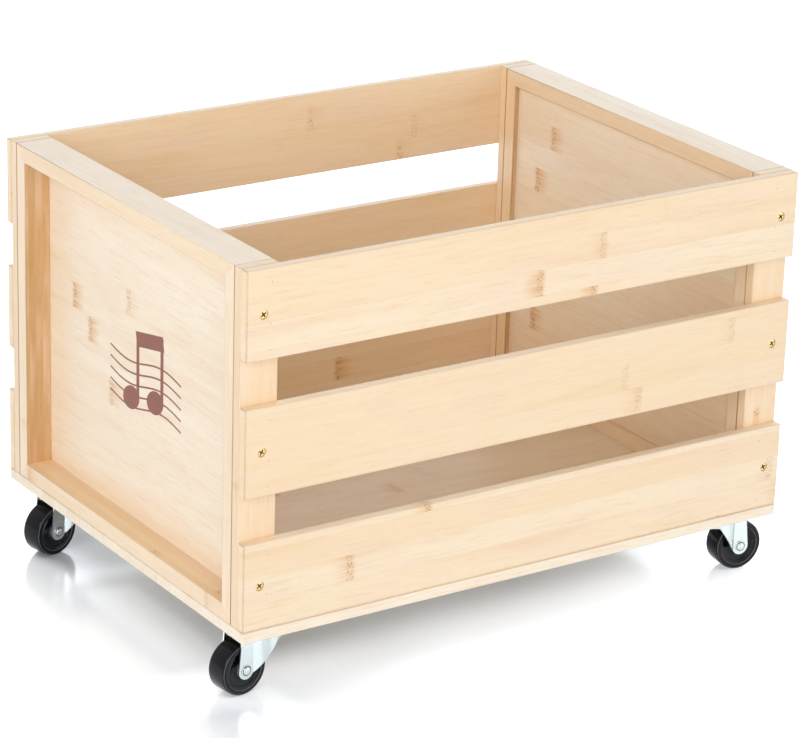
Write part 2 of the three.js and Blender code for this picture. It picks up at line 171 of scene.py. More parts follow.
class FastenerSettings(PropertyGroup):
    """Sizes and colours of the screws and brads."""

    brass: colour("Screw metal", "Yellow passivated steel of the slat screws", shown(222, 192, 138))
    steel: colour("Steel", "Bright steel of the screws underneath", shown(188, 192, 194))
    head: length("Head radius", "Radius of a slat screw's head", 3.1 * MM)
    recess: length("Recess reach", "Reach of each arm of the cross recess", 2.15 * MM)
    brad: length("Brad radius", "Radius of a brad's head", 0.7 * MM)
    seed: IntProperty(name="Turn seed", description="Picks how far each screw is turned", default=4)


class CasterSettings(PropertyGroup):
    """Sizes and colours of the swivel casters."""

    zinc: colour("Zinc", "Bright zinc plate", shown(190, 197, 196))
    rubber: colour("Wheel", "Glossy black plastic of the wheels", shown(13, 14, 18))
    sheet: length("Fork sheet", "Thickness of the fork's steel", 1.2 * MM)
    bend: length("Bend radius", "Radius of the fork's pressed bends", 2 * MM)
    segments: IntProperty(name="Segments", description="Segments round a wheel", default=96, min=24)


class StageSettings(PropertyGroup):
    """Floor, lamps and background."""

    floor: colour("Floor", "Shade of the floor", shown(231, 239, 249))
    horizon: level("Horizon", "Even light from the sides", 1.15)
    zenith: level("Zenith", "Even light from above", 0.2)
    key: power("Key lamp", "Power of the lamp in front", 37)
    fill: power("Fill lamp", "Power of the lamp on the right", 20)
    side: power("Side lamp", "Power of the lamp that faces the left end", 17)
    rim: power("Back lamp", "Power of the lamp behind", 18)
    glint: power("Small lamp", "Power of the lamp for highlights", 5)


def settings(name):
    return getattr(bpy.context.scene, "record_stand_" + name)


# ---------------------------------------------------------------- node trees


class Graph:
    """Adds nodes to one tree and joins them."""

    def __init__(self, tree):
        self.tree = tree

    def add(self, kind, inputs=None, **options):
        made = self.tree.nodes.new(kind)
        for key, value in options.items():
            setattr(made, key, value)
        for key, value in (inputs or {}).items():
            self.put(self.socket(made.inputs, key), value)
        return made

    def socket(self, sockets, key):
        if isinstance(key, int):
            return sockets[key]
        return next(s for s in sockets if s.name == key and s.enabled)

    def put(self, socket, value):
        if isinstance(value, bpy.types.NodeSocket):
            self.tree.links.new(value, socket)
        else:
            socket.default_value = value

    def math(self, operation, *values):
        inputs = dict(enumerate(values))
        return self.add("ShaderNodeMath", inputs, operation=operation).outputs[0]

    def times(self, first, *others):
        for other in others:
            first = self.math("MULTIPLY", first, other)
        return first

    def plus(self, first, *others):
        for other in others:
            first = self.math("ADD", first, other)
        return first

    def minus(self, first, second):
        return self.math("SUBTRACT", first, second)

    def split(self, value):
        return self.add("ShaderNodeSeparateXYZ", {0: value}).outputs

    def attribute(self, name, output="Fac"):
        return self.add("ShaderNodeAttribute", attribute_name=name).outputs[output]

    def ramp(self, value, low, high, start=0.0, end=1.0):
        """Value from low to high, eased to start to end."""
        inputs = {"Value": value, "From Min": low, "From Max": high, "To Min": start, "To Max": end}
        made = self.add("ShaderNodeMapRange", inputs, interpolation_type="SMOOTHSTEP")
        return made.outputs["Result"]

    def mix(self, factor, first, second, blend="MIX"):
        made = self.add("ShaderNodeMix", data_type="RGBA", blend_type=blend)
        for index, value in ((0, factor), (6, first), (7, second)):
            self.put(made.inputs[index], value)
        return made.outputs[2]

    def vector(self, x, y, z):
        return self.add("ShaderNodeCombineXYZ", {0: x, 1: y, 2: z}).outputs[0]

    def noise(self, place, scale, detail=2.0, roughness=0.5):
        inputs = {"Vector": place, "Scale": scale, "Detail": detail, "Roughness": roughness}
        return self.add("ShaderNodeTexNoise", inputs).outputs["Fac"]

    def read(self, name):
        """A stored vector, in a geometry tree."""
        made = self.add(
            "GeometryNodeInputNamedAttribute", {"Name": name}, data_type="FLOAT_VECTOR"
        )
        return self.socket(made.outputs, "Attribute")

    def store(self, geometry, name, value, domain):
        """Stores a vector on geometry, in a geometry tree."""
        inputs = {"Geometry": geometry, "Name": name, "Value": value}
        options = {"data_type": "FLOAT_VECTOR", "domain": domain}
        return self.add("GeometryNodeStoreNamedAttribute", inputs, **options).outputs[0]

    def chance(self, kind, **inputs):
        made = self.add("FunctionNodeRandomValue", inputs, data_type=kind)
        return self.socket(made.outputs, "Value")


def rgba(shade):
    return (*shade, 1.0)


def new_material(name, **constants):
    """A material with one Principled shader, whose plain values are set on its own sockets."""
    material = bpy.data.materials.new(name)
    material.use_nodes = True
    graph = Graph(material.node_tree)
    shader = next(n for n in graph.tree.nodes if n.type == "BSDF_PRINCIPLED")
    for key, value in constants.items():
        shader.inputs[key.replace("_", " ")].default_value = value
    return material, graph, shader


def bump(graph, shader, height, distance, strength=1.0):
    inputs = {"Height": height, "Distance": distance, "Strength": strength}
    graph.put(shader.inputs["Normal"], graph.add("ShaderNodeBump", inputs).outputs[0])


# Grain of the bamboo: how often each noise repeats in a metre, along the fibres and across.
BROAD, CLOUD = (6.0, 75.0), (13.0, 55.0)
FIBRE, FLECK, DOT = (32.0, 520.0), (105.0, 1150.0), (760.0, 1000.0)
WANDER = (11.0, 30.0)
BEND = 7 * MM  # how far the fibres wander to the side
STRIP_SHIFT = 3.1  # moves the grain from strip to strip
KNUCKLE_SHIFT = 7.3  # moves the knuckles from strip to strip
KNUCKLE_WAVES, KNUCKLE_SWAY = 160.0, 5 * MM


def knuckles(graph, along, across, strip, chance, pitch):
    """How far each point lies past its strip's nearest knuckle, and how plain that knuckle is."""
    place = graph.plus(graph.math("DIVIDE", along, pitch), graph.times(chance, KNUCKLE_SHIFT))
    cell = graph.math("FLOOR", place)
    jitter = graph.add("ShaderNodeTexWhiteNoise", {"Vector": graph.vector(strip, cell, 0.5)})
    parts = graph.split(jitter.outputs["Color"])
    middle = graph.ramp(parts[0], 0.0, 1.0, 0.25, 0.75)
    offset = graph.times(graph.minus(graph.math("FRACT", place), middle), pitch)
    wave = graph.noise(graph.vector(strip, graph.times(across, KNUCKLE_WAVES), cell), 1.0)
    sway = graph.times(graph.minus(wave, 0.5), KNUCKLE_SWAY)
    return graph.plus(offset, sway), graph.ramp(parts[1], 0.5, 0.98)


def bamboo(name, pale, warm, deep, strip_width, wood):
    """Lacquered strip bamboo. Each board's own attribute gives the place along and across it."""
    material, graph, shader = new_material(name, IOR=1.5, Coat_Weight=0.6, Coat_Roughness=0.32)
    times, plus, minus, ramp = graph.times, graph.plus, graph.minus, graph.ramp
    along, across, through = graph.split(graph.attribute("grain", "Vector"))
    row = graph.math("DIVIDE", across, strip_width)
    strip = graph.math("FLOOR", row)
    chance = graph.add("ShaderNodeTexWhiteNoise", {"Vector": graph.vector(strip, 3.7, 1.3)})
    tint, warmth, lift = graph.split(chance.outputs["Color"])
    wander = graph.vector(times(along, WANDER[0]), times(across, WANDER[1]), tint)
    bent = plus(across, times(minus(graph.noise(wander, 1.0), 0.5), BEND))

    def grain(scales, detail=2.0, roughness=0.5):
        """Noise that is stretched along the fibres."""
        sideways = times(plus(bent, times(tint, STRIP_SHIFT)), scales[1])
        place = graph.vector(times(along, scales[0]), sideways, times(through, scales[1]))
        return graph.noise(place, 1.0, detail, roughness)

    def weighed(value, low, high, weight):
        return times(ramp(value, low, high), weight)

    broad, fibre = grain(BROAD, 3.0), grain(FIBRE, 4.0, 0.6)
    seam = ramp(graph.math("PINGPONG", graph.math("FRACT", row), 0.5), 0.0, 0.02, 1.0, 0.0)
    tone = plus(weighed(lift, 0.15, 0.95, 0.6), weighed(broad, 0.4, 0.7, 0.35))
    shade = graph.mix(graph.math("MINIMUM", tone, 1.0), rgba(pale), rgba(warm))
    shade = graph.mix(weighed(grain(CLOUD), 0.45, 0.7, 0.4), shade, rgba(wood.blush))
    depth = plus(weighed(fibre, 0.48, 0.76, 0.4), weighed(grain(FLECK), 0.56, 0.76, 0.34))
    depth = plus(depth, times(seam, 0.3), weighed(broad, 0.55, 0.8, 0.25))
    shade = graph.mix(graph.math("MINIMUM", depth, 1.0), shade, rgba(deep))

    offset, plain = knuckles(graph, along, across, strip, warmth, wood.knuckle_pitch)
    before = ramp(offset, -16 * MM, -1 * MM)
    after = ramp(offset, 1 * MM, 6 * MM, 1.0, 0.0)
    stain = times(before, after, ramp(fibre, 0.3, 0.62, 0.3, 1.0), plain, 0.85)
    shade = graph.mix(stain, shade, rgba(wood.stain))
    bar = ramp(graph.math("ABSOLUTE", offset), 1.6 * MM, 3.6 * MM, 1.0, 0.0)
    dotted = times(bar, ramp(grain(DOT, 1.0), 0.5, 0.62), graph.math("POWER", plain, 0.5))
    shade = graph.mix(times(dotted, 0.75), shade, rgba(wood.knuckle))
    # Rounded edges darken towards edge_tone: painted shade along the seams, a faint stain
    # elsewhere.
    seam_shade_and_stain = times(graph.attribute("eased"), ramp(broad, 0.3, 0.7, 0.75, 1.0))
    shade = graph.mix(seam_shade_and_stain, shade, rgba(wood.edge_tone))
    graph.put(shader.inputs["Base Color"], shade)
    rough = ramp(fibre, 0.3, 0.8, wood.roughness, wood.roughness + 0.14)
    graph.put(shader.inputs["Roughness"], rough)
    height = minus(minus(times(fibre, 0.5), times(seam, 0.8)), times(dotted, 0.7))
    bump(graph, shader, height, 0.09 * MM, 0.5)
    return material


def bamboo_materials():
    """The shades of bamboo, made once, by name."""
    wood = settings("bamboo")
    flat, thin = wood.strip, wood.thin_strip

    def halfway(first, second):
        return [0.5 * (a + b) for a, b in zip(first, second)]

    def dark(pale, deep):
        return pale, halfway(pale, deep), deep, thin

    kinds = {
        "laminated_bamboo": (wood.pale, wood.warm, wood.deep, flat),
        # Darker copies of the bamboo, painted shade for the end frames' recesses.
        "honey_bamboo": dark(wood.painted_post_shade, wood.painted_post_shade_deep),
        "golden_bamboo": dark(wood.painted_rail_shade, wood.golden_deep),
        "sheet_bamboo": (wood.sheet, wood.sheet_warm, wood.deep, flat),
        "edge_bamboo": (wood.pale, wood.warm, wood.deep, thin),
        "batten_bamboo": (halfway(wood.pale, wood.warm), wood.warm, wood.deep, thin),
    }
    for name, (pale, warm, deep, strip) in kinds.items():
        if name not in bpy.data.materials:
            bamboo(name, tuple(pale), tuple(warm), tuple(deep), strip, wood)
    return {name: bpy.data.materials[name] for name in kinds}


def metal(name, shade, roughness, spangle, recess_shade=(0.3, 0.3, 0.3)):
    """Plated steel, a little cloudy, with a fine grit in its shine and painted shade in its
    recesses.
    """
    if name in bpy.data.materials:
        return bpy.data.materials[name]
    material, graph, shader = new_material(name, Metallic=1.0)
    place = graph.add("ShaderNodeTexCoord").outputs["Object"]
    cloud = graph.noise(place, 110.0, 3.0)
    grit = graph.noise(place, 900.0, 2.0)
    patch = graph.plus(graph.times(grit, 0.3), graph.times(cloud, 0.7))
    darker = [spangle * c for c in shade]
    recess_shaded = [c * g for c, g in zip(shade, recess_shade)]
    shade = graph.mix(graph.ramp(patch, 0.25, 0.75), rgba(darker), rgba(shade))
    # Faces marked as recess take painted shade.
    shade = graph.mix(graph.attribute("recess"), shade, rgba(recess_shaded))
    graph.put(shader.inputs["Base Color"], shade)
    rough = graph.ramp(patch, 0.2, 0.8, roughness * 0.92, roughness * 1.12)
    graph.put(shader.inputs["Roughness"], rough)
    bump(graph, shader, grit, 0.01 * MM, 0.06)
    return material


def zinc_plate():
    return metal("zinc_plate", tuple(settings("casters").zinc), 0.26, 0.95)


def screw_brass():
    return metal("screw_brass", tuple(settings("fasteners").brass), 0.3, 0.75, (0.2, 0.15, 0.1))


def mark_rings(mesh, frame, label, rings):
    """Stores which faces of a turned piece lie in some rings, given by radius in millimetres."""
    store = mesh.attributes.new(label, "FLOAT", "FACE")
    home = frame.inverted()
    for face, value in zip(mesh.polygons, store.data):
        radius = (home @ face.center).xy.length
        value.value = float(any(low < radius < high for low, high in rings))


def moulded(name, shade):
    """Glossy moulded plastic, with faint flow marks and painted highlight rings."""
    if name in bpy.data.materials:
        return bpy.data.materials[name]
    material, graph, shader = new_material(name, IOR=1.26)
    place = graph.add("ShaderNodeTexCoord").outputs["Object"]
    cloud = graph.noise(place, 130.0, 3.0)
    shade = graph.mix(graph.ramp(cloud, 0.3, 0.8), rgba(shade), rgba([1.4 * c for c in shade]))
    # Painted highlights on the rings of the wheel's edges.
    painted_light = graph.times(graph.attribute("painted_highlight"), 0.6)
    shade = graph.mix(painted_light, shade, rgba(shown(128, 132, 137)))
    graph.put(shader.inputs["Base Color"], shade)
    scuff = graph.noise(place, 420.0, 4.0, 0.6)
    graph.put(shader.inputs["Roughness"], graph.ramp(scuff, 0.4, 0.75, 0.11, 0.22))
    bump(graph, shader, scuff, 0.01 * MM, 0.12)
    return material


def printed(name, shade):
    """Screen printed ink that lets a little of the wood through."""
    material, graph, shader = new_material(name, IOR=1.5)
    place = graph.add("ShaderNodeTexCoord").outputs["Object"]
    speck = graph.noise(place, 900.0, 3.0, 0.6)
    cloud = graph.noise(place, 90.0, 2.0)
    lighter = [1.25 * c for c in shade]
    shade = graph.mix(graph.ramp(cloud, 0.3, 0.7, 0.0, 0.35), rgba(shade), rgba(lighter))
    shade = graph.mix(graph.ramp(speck, 0.62, 0.8, 0.0, 0.5), shade, rgba(shown(205, 160, 130)))
    graph.put(shader.inputs["Base Color"], shade)
    graph.put(shader.inputs["Roughness"], graph.ramp(speck, 0.3, 0.7, 0.45, 0.65))
    return material


# ---------------------------------------------------------------- mesh helpers


def new_object(name, mesh):
    """Puts a mesh in the scene. Its place is in its vertices, so the object sits at the origin."""
    mesh.name = name
    piece = bpy.data.objects.new(name, mesh)
    bpy.context.scene.collection.objects.link(piece)
    return piece


def add_work(work, other):
    """Adds one bmesh to another, and frees it."""
    mesh = mesh_from(other)
    work.from_mesh(mesh)
    bpy.data.meshes.remove(mesh)


def mesh_from(work):
    """A plain mesh from a bmesh, with its faces turned outwards."""
    bmesh.ops.recalc_face_normals(work, faces=work.faces)
    mesh = bpy.data.meshes.new("piece")
    work.to_mesh(mesh)
    work.free()
    return mesh


def evaluated(piece):
    """The mesh that an object's modifiers make. The object keeps none of them."""
    graph = bpy.context.evaluated_depsgraph_get()
    graph.update()
    mesh = bpy.data.meshes.new_from_object(piece.evaluated_get(graph), depsgraph=graph)
    piece.modifiers.clear()
    return mesh


def finish_piece(piece, material_slot, materials, body, *nodes):
    """Gives a piece its finish and body, and hides the solids it stands for."""
    if materials:
        piece.data.materials.clear()
        for material in materials:
            piece.data.materials.append(material)
    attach(piece, body)
    if nodes:
        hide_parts(*nodes)
    return piece


def stacked(rings):
    """A closed bmesh through rings of points, one after another, with a face at each end."""
    work = bmesh.new()
    rings = [[work.verts.new(point) for point in ring] for ring in rings]
    work.faces.new(rings[0])
    work.faces.new(rings[-1])
    for first, second in zip(rings, rings[1:]):
        for i in range(len(first)):
            j = (i + 1) % len(first)
            work.faces.new((first[i], first[j], second[j], second[i]))
    bmesh.ops.recalc_face_normals(work, faces=work.faces)
    return work


def prism(corners, axis, start, end):
    """A bmesh prism: corners are points across its axis, in the order of the other two axes."""
    rings = []
    for along in (start, end):
        ring = [list(corner) for corner in corners]
        for point in ring:
            point.insert(axis, along)
        rings.append(ring)
    return stacked(rings)


def block(low, high):
    corners = ((low[1], low[2]), (high[1], low[2]), (high[1], high[2]), (low[1], high[2]))
    return prism(corners, 0, low[0], high[0])


def round_edges(work, edges, width, segments):
    bmesh.ops.bevel(
        work, geom=edges, offset=width, offset_type="OFFSET", segments=segments, profile=0.5,
        affect="EDGES", clamp_overlap=True,
    )


def soften(work, edge):
    """Rounds the edges of a board, apart from those of a mitre."""

    def square(face):
        return max(abs(c) for c in face.normal) > 0.999

    work.normal_update()
    edges = [e for e in work.edges if all(square(f) for f in e.link_faces)]
    round_edges(work, edges, edge, 4)
    return work


def turned(profile, segments, matrix=None, closed=False):
    """A turned bmesh about Z from (radius, place) pairs. A closed profile makes a ring."""
    work = bmesh.new()
    rings = []
    for radius, along in profile:
        if radius < 1e-7:
            rings.append([work.verts.new((0, 0, along))])
            continue
        angles = (2 * math.pi * i / segments for i in range(segments))
        rings.append(
            [work.verts.new((radius * math.cos(a), radius * math.sin(a), along)) for a in angles]
        )
    pairs = list(zip(rings, rings[1:]))
    if closed:
        pairs.append((rings[-1], rings[0]))
    for first, second in pairs:
        for i in range(segments):
            j = (i + 1) % segments
            corners = [first[i % len(first)], first[j % len(first)]]
            corners += [second[j % len(second)], second[i % len(second)]]
            face = list(dict.fromkeys(corners))
            if len(face) > 2:
                work.faces.new(face)
    bmesh.ops.recalc_face_normals(work, faces=work.faces)
    if matrix is not None:
        work.transform(matrix)
    return work


def smooth(mesh, angle=35.0):
    """Smooth shading, with the edges that turn further than angle kept crisp."""
    mesh.shade_smooth()
    mesh.set_sharp_from_angle(angle=math.radians(angle))
    return mesh


FLAT = 0.9995  # least normal component of a broad face
MITRE_SLACK = 1e-3  # how far from 45 degrees a mitre's face may be
SEAM_REACH = 1.1 * MM  # how far from a seam a rounded edge gets painted shade
EDGE_STAIN = 0.08  # stain on the other rounded edges


def flat_faces(mesh):
    """Keeps a board's broad faces flat, and smooths its rounded edges and holes."""
    for face in mesh.polygons:
        biggest = max(abs(c) for c in face.normal)
        mitre = sorted(abs(c) for c in face.normal)[1:]
        face.use_smooth = biggest < FLAT and abs(mitre[0] - mitre[1]) > MITRE_SLACK
    return mesh


def mark_edges(mesh, painted_light, seams):
    """Stores how far each rounded edge is darkened: painted shade along a seam, and hardly
    elsewhere, a faint stain.

    A seam is an axis and a place on it.
    """
    store = mesh.attributes.new("eased", "FLOAT", "FACE")
    for face, value in zip(mesh.polygons, store.data):
        near = any(abs(face.center[axis] - place) < SEAM_REACH for axis, place in seams)
        value.value = face.use_smooth * (painted_light if near else EDGE_STAIN)


def cut(piece, tools):
    """Cuts closed tool meshes out of a piece."""
    if not tools:
        return
    work = bmesh.new()
    for tool in tools:
        add_work(work, tool)
    cutter = new_object("cutter", mesh_from(work))
    step = piece.modifiers.new("Cut", "BOOLEAN")
    step.operation = "DIFFERENCE"
    step.solver = "EXACT"
    step.object = cutter
    piece.data = evaluated(piece)
    bpy.data.objects.remove(cutter)


def mark_grain(mesh, origin, along, across, shift):
    """Stores the place of each point on its board: along, across and through the grain."""
    through = next(i for i in range(3) if i not in (along, across))
    store = mesh.attributes.new("grain", "FLOAT_VECTOR", "POINT")
    values = []
    for vertex in mesh.vertices:
        place = vertex.co - Vector(origin)
        values += [place[axis] + move for axis, move in zip((along, across, through), shift)]
    store.data.foreach_set("vector", values)


def board_shift(key):
    """A fixed shift of the grain for each board, so that no two look alike."""
    dice = random.Random(f"{settings('bamboo').seed} {key}")
    return tuple(dice.uniform(2.0, 9.0) for _ in range(3))


def make_board(
    name, work, along, across, finish, nodes, tools=(), slot="bamboo", painted_light=0.5, seams=()
):
    """Turns a rounded bmesh into a finished board that stands for a solid."""
    piece = new_object(name, mesh_from(work))
    cut(piece, list(tools))
    flat_faces(piece.data)
    mark_edges(piece.data, painted_light, seams)
    mark_grain(piece.data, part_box(nodes[0])[0], along, across, board_shift(name))
    return finish_piece(piece, slot, finish, CRATE, *nodes)


# ---------------------------------------------------------------- fasteners


def cross_recess(reach, depth):
    """A tapered cross that cuts a screw's recess. The opening is at Z 0."""
    half = reach * 0.24
    arm = ((reach, -half), (reach, half), (half, half))
    turns = ((1, 0), (0, 1), (-1, 0), (0, -1))
    outline = [(x * c - y * s, x * s + y * c) for c, s in turns for x, y in arm]
    levels = ((1.0, depth * 0.4), (1.0, 0.0), (0.42, -depth))
    return stacked([[(x * size, y * size, z) for x, y in outline] for size, z in levels])


def mark_recess(mesh, reach):
    """Stores which faces of a screw lie inside its recess, where its colour gets painted shade."""
    store = mesh.attributes.new("recess", "FLOAT", "FACE")
    for face, value in zip(mesh.polygons, store.data):
        middle = face.center
        sunk = -1.6 * MM < middle.z < -0.03 * MM
        value.value = float(sunk and middle.xy.length < reach)


def screw_source(name, radius, shank, drop, reach, dome=0.0):
    """One screw, with its head's face at Z 0 and its shank along -Z."""
    profile = [(0.0, dome), (radius * 0.5, dome * 0.8), (radius * 0.86, dome * 0.25)]
    profile += [(radius, -0.12 * MM), (radius, -0.4 * MM), (shank, -2.2 * MM)]
    profile += [(shank, -drop + 2 * shank), (0.0, -drop)]
    piece = new_object(name, mesh_from(turned(profile, 24)))
    cut(piece, [cross_recess(reach, 1.5 * MM)])
    mark_recess(piece.data, reach)
    smooth(piece.data)
    return piece


def new_tree(name, inputs, output):
    """An empty geometry tree, with the kind of each input by its name."""
    tree = bpy.data.node_groups.new(name, "GeometryNodeTree")
    for label, kind in inputs.items():
        tree.interface.new_socket(name=label, in_out="INPUT", socket_type="NodeSocket" + kind)
    tree.interface.new_socket(name=output, in_out="OUTPUT", socket_type="NodeSocketGeometry")
    return tree


def fastener_tree():
    """Sets one fastener on each point of a mesh, turned by chance about the way it faces."""
    name = "Fasteners on points"
    if name in bpy.data.node_groups:
        return bpy.data.node_groups[name]
    inputs = {"Points": "Geometry", "Fastener": "Object", "Largest turn": "Float"}
    tree = new_tree(name, {**inputs, "Seed": "Int", "Finish": "Material"}, "Fasteners")
    graph = Graph(tree)
    given = graph.add("NodeGroupInput").outputs
    info = graph.add("GeometryNodeObjectInfo", {"Object": given["Fastener"]})
    way = {"Vector": graph.read("facing")}
    aim = graph.add("FunctionNodeAlignRotationToVector", way, axis="Z").outputs[0]
    turn = graph.chance("FLOAT", Max=given["Largest turn"], Seed=given["Seed"])
    spin = graph.add("FunctionNodeAxisAngleToRotation", {"Axis": (0, 0, 1), "Angle": turn})
    both = {"Rotation": aim, "Rotate By": spin.outputs[0]}
    pose = graph.add("FunctionNodeRotateRotation", both, rotation_space="LOCAL").outputs[0]
    placed = graph.add(
        "GeometryNodeInstanceOnPoints",
        {"Points": given["Points"], "Instance": info.outputs["Geometry"], "Rotation": pose},
    )
    real = graph.add("GeometryNodeRealizeInstances", {"Geometry": placed.outputs[0]}).outputs[0]
    finish = {"Geometry": real, "Material": given["Finish"]}
    dressed = graph.add("GeometryNodeSetMaterial", finish).outputs[0]
    graph.add("NodeGroupOutput", {"Fasteners": dressed})
    return tree


def run_tree(piece, tree, values):
    """Runs a node tree on a piece and leaves the plain mesh that it makes."""
    step = piece.modifiers.new("Build", "NODES")
    step.node_group = tree
    for item in tree.interface.items_tree:
        if item.item_type == "SOCKET" and item.in_out == "INPUT" and item.name in values:
            step[item.identifier] = values[item.name]
    piece.data = evaluated(piece)
    return piece


def set_fasteners(name, places, source, finish, slot, nodes=()):
    """Makes one mesh of all the like fasteners on a body. Places are (point, facing) pairs."""
    mesh = bpy.data.meshes.new(name)
    mesh.from_pydata([tuple(point) for point, _ in places], [], [])
    facing = mesh.attributes.new("facing", "FLOAT_VECTOR", "POINT")
    facing.data.foreach_set("vector", [c for _, way in places for c in way])
    piece = new_object(name, mesh)
    values = {"Fastener": source, "Largest turn": math.pi, "Finish": finish}
    run_tree(piece, fastener_tree(), {**values, "Seed": settings("fasteners").seed})
    bpy.data.objects.remove(source)
    if not piece.data.polygons:
        raise RuntimeError(f"{name} came out empty")
    return finish_piece(piece, slot, None, CRATE, *nodes)


def screw_places():
    """Where each slat screw sits, as the middle of its head and the way it faces, by node."""
    places = {}
    for side_name, side in SIDES:
        for level_name in LEVELS:
            for end_name, _ in ENDS:
                node = f"{side_name}_{level_name}_slat_screw_{end_name}"
                low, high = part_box(node)
                face = high.y if side > 0 else low.y
                middle = Vector(((low.x + high.x) / 2, face, (low.z + high.z) / 2))
                places[node] = (middle, (0, side, 0))
    return places


# ---------------------------------------------------------------- crate operators


class Maker:
    """What the operators share: each makes its pieces, and is then done."""

    def execute(self, context):
        self.make()
        return {"FINISHED"}


class STAND_OT_base_board(Maker, Operator):
    """Makes the flat base board"""

    bl_idname = "stand.base_board"
    bl_label = "Base board"

    def make(self):
        work = soften(block(BASE_LOW, BASE_HIGH), settings("bamboo").edge)
        finish = [bamboo_materials()["sheet_bamboo"]]
        seams = [(2, BASE_HIGH.z)]
        make_board("base", work, 0, 1, finish, ["base_board"], painted_light=0.35, seams=seams)


def slat_tree():
    """Stacks one slat on both long sides, and gives each copy its own shift of the grain."""
    inputs = {"Slat": "Geometry", "Count": "Int", "Pitch": "Float", "Seed": "Int"}
    tree = new_tree("Slat stacks", {**inputs, "Finish": "Material"}, "Slats")
    graph = Graph(tree)
    given = graph.add("NodeGroupInput").outputs
    steps = {"Count": given["Count"], "Offset": graph.vector(0.0, 0.0, given["Pitch"])}
    line = graph.add("GeometryNodeMeshLine", steps, mode="OFFSET").outputs[0]
    both = graph.add("GeometryNodeJoinGeometry")
    for turn in (0.0, math.pi):
        stack = {"Points": line, "Instance": given["Slat"], "Rotation": (0.0, 0.0, turn)}
        graph.put(both.inputs[0], graph.add("GeometryNodeInstanceOnPoints", stack).outputs[0])
    least, most = (2.0, 2.0, 2.0), (9.0, 9.0, 9.0)
    shift = graph.chance("FLOAT_VECTOR", Min=least, Max=most, Seed=given["Seed"])
    kept = graph.store(both.outputs[0], "shift", shift, "INSTANCE")
    real = graph.add("GeometryNodeRealizeInstances", {"Geometry": kept}).outputs[0]
    parts = {0: graph.read("grain"), 1: graph.read("shift")}
    total = graph.add("ShaderNodeVectorMath", parts, operation="ADD").outputs[0]
    moved = graph.store(real, "grain", total, "POINT")
    finish = {"Geometry": moved, "Material": given["Finish"]}
    dressed = graph.add("GeometryNodeSetMaterial", finish).outputs[0]
    graph.add("NodeGroupOutput", {"Slats": dressed})
    return tree


def screw_bore(point, facing):
    """The countersunk hole of one screw, reaching out past the face of the slat."""
    rim, bore, depth, past = settings("fasteners").head + BORE_CLEAR, 2.05 * MM, 22 * MM, 3 * MM
    profile = [(0.0, -depth), (bore, -depth), (bore, -2.6 * MM), (rim, -0.1 * MM)]
    profile += [(rim, past), (0.0, past)]
    turn = Vector((0, 0, 1)).rotation_difference(Vector(facing)).to_matrix().to_4x4()
    return turned(profile, 32, Matrix.Translation(point) @ turn)


class STAND_OT_slats(Maker, Operator):
    """Makes the slats of both long sides from one drilled slat"""

    bl_idname = "stand.slats"
    bl_label = "Slats"

    def make(self):
        wood = settings("bamboo")
        work = soften(block(SLAT_LOW, SLAT_HIGH), wood.edge * 1.2)
        piece = new_object("slats", mesh_from(work))
        cut(piece, bores_near(SLAT_LOW, SLAT_HIGH))
        flat_faces(piece.data)
        mark_edges(piece.data, 0.4, [(0, SLAT_LOW.x), (0, SLAT_HIGH.x)])
        mark_grain(piece.data, SLAT_LOW, 0, 2, (0.0, 0.0, 0.0))
        values = {"Count": len(LEVELS), "Pitch": SLAT_PITCH, "Seed": wood.seed}
        values["Finish"] = bamboo_materials()["laminated_bamboo"]
        run_tree(piece, slat_tree(), values)
        nodes = [f"{side}_{row}_slat" for side, _ in SIDES for row in LEVELS]
        finish_piece(piece, "bamboo", None, CRATE, *nodes)


def bores_near(low, high):
    """The screw holes that pass through a box."""
    tools = []
    for point, facing in screw_places().values():
        inside = low.x < point.x < high.x and low.z < point.z < high.z
        if inside and point.y * (low.y + high.y) > 0:
            tools.append(screw_bore(point, facing))
    return tools


class STAND_OT_battens(Maker, Operator):
    """Makes the upright battens between the slats and the end frames"""

    bl_idname = "stand.battens"
    bl_label = "Battens"

    def make(self):
        finish = [bamboo_materials()["batten_bamboo"]]
        for side_name, side in SIDES:
            for end_name, _ in ENDS:
                node = f"{side_name}_{end_name}_batten"
                low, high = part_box(node)
                work = soften(block(low, high), settings("bamboo").edge)
                seams = [(1, high.y if side < 0 else low.y)]
                tools = bores_near(low, high)
                make_board(
                    f"{node}_strip", work, 2, 0, finish, [node], tools, painted_light=1.0, seams=seams
                )


def frame_boards(end_name):
    """The mitred outlines of an end frame's boards in Y and Z, and the way each faces inwards."""
    low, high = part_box(f"{end_name}_end_bottom_rail")
    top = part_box(f"{end_name}_end_top_rail")[1].z
    thick = high.z - low.z

    def corners(inset):
        left, right, bottom, roof = low.y + inset, high.y - inset, low.z + inset, top - inset
        return (left, bottom), (right, bottom), (right, roof), (left, roof)

    outside, inside = corners(0.0), corners(thick)
    kinds = {"bottom_rail": (0, 0, 1), "back_post": (0, -1, 0)}
    kinds.update({"top_rail": (0, 0, -1), "front_post": (0, 1, 0)})
    for i, (kind, inwards) in enumerate(kinds.items()):
        j = (i + 1) % 4
        yield kind, (outside[i], outside[j], inside[j], inside[i]), Vector(inwards)


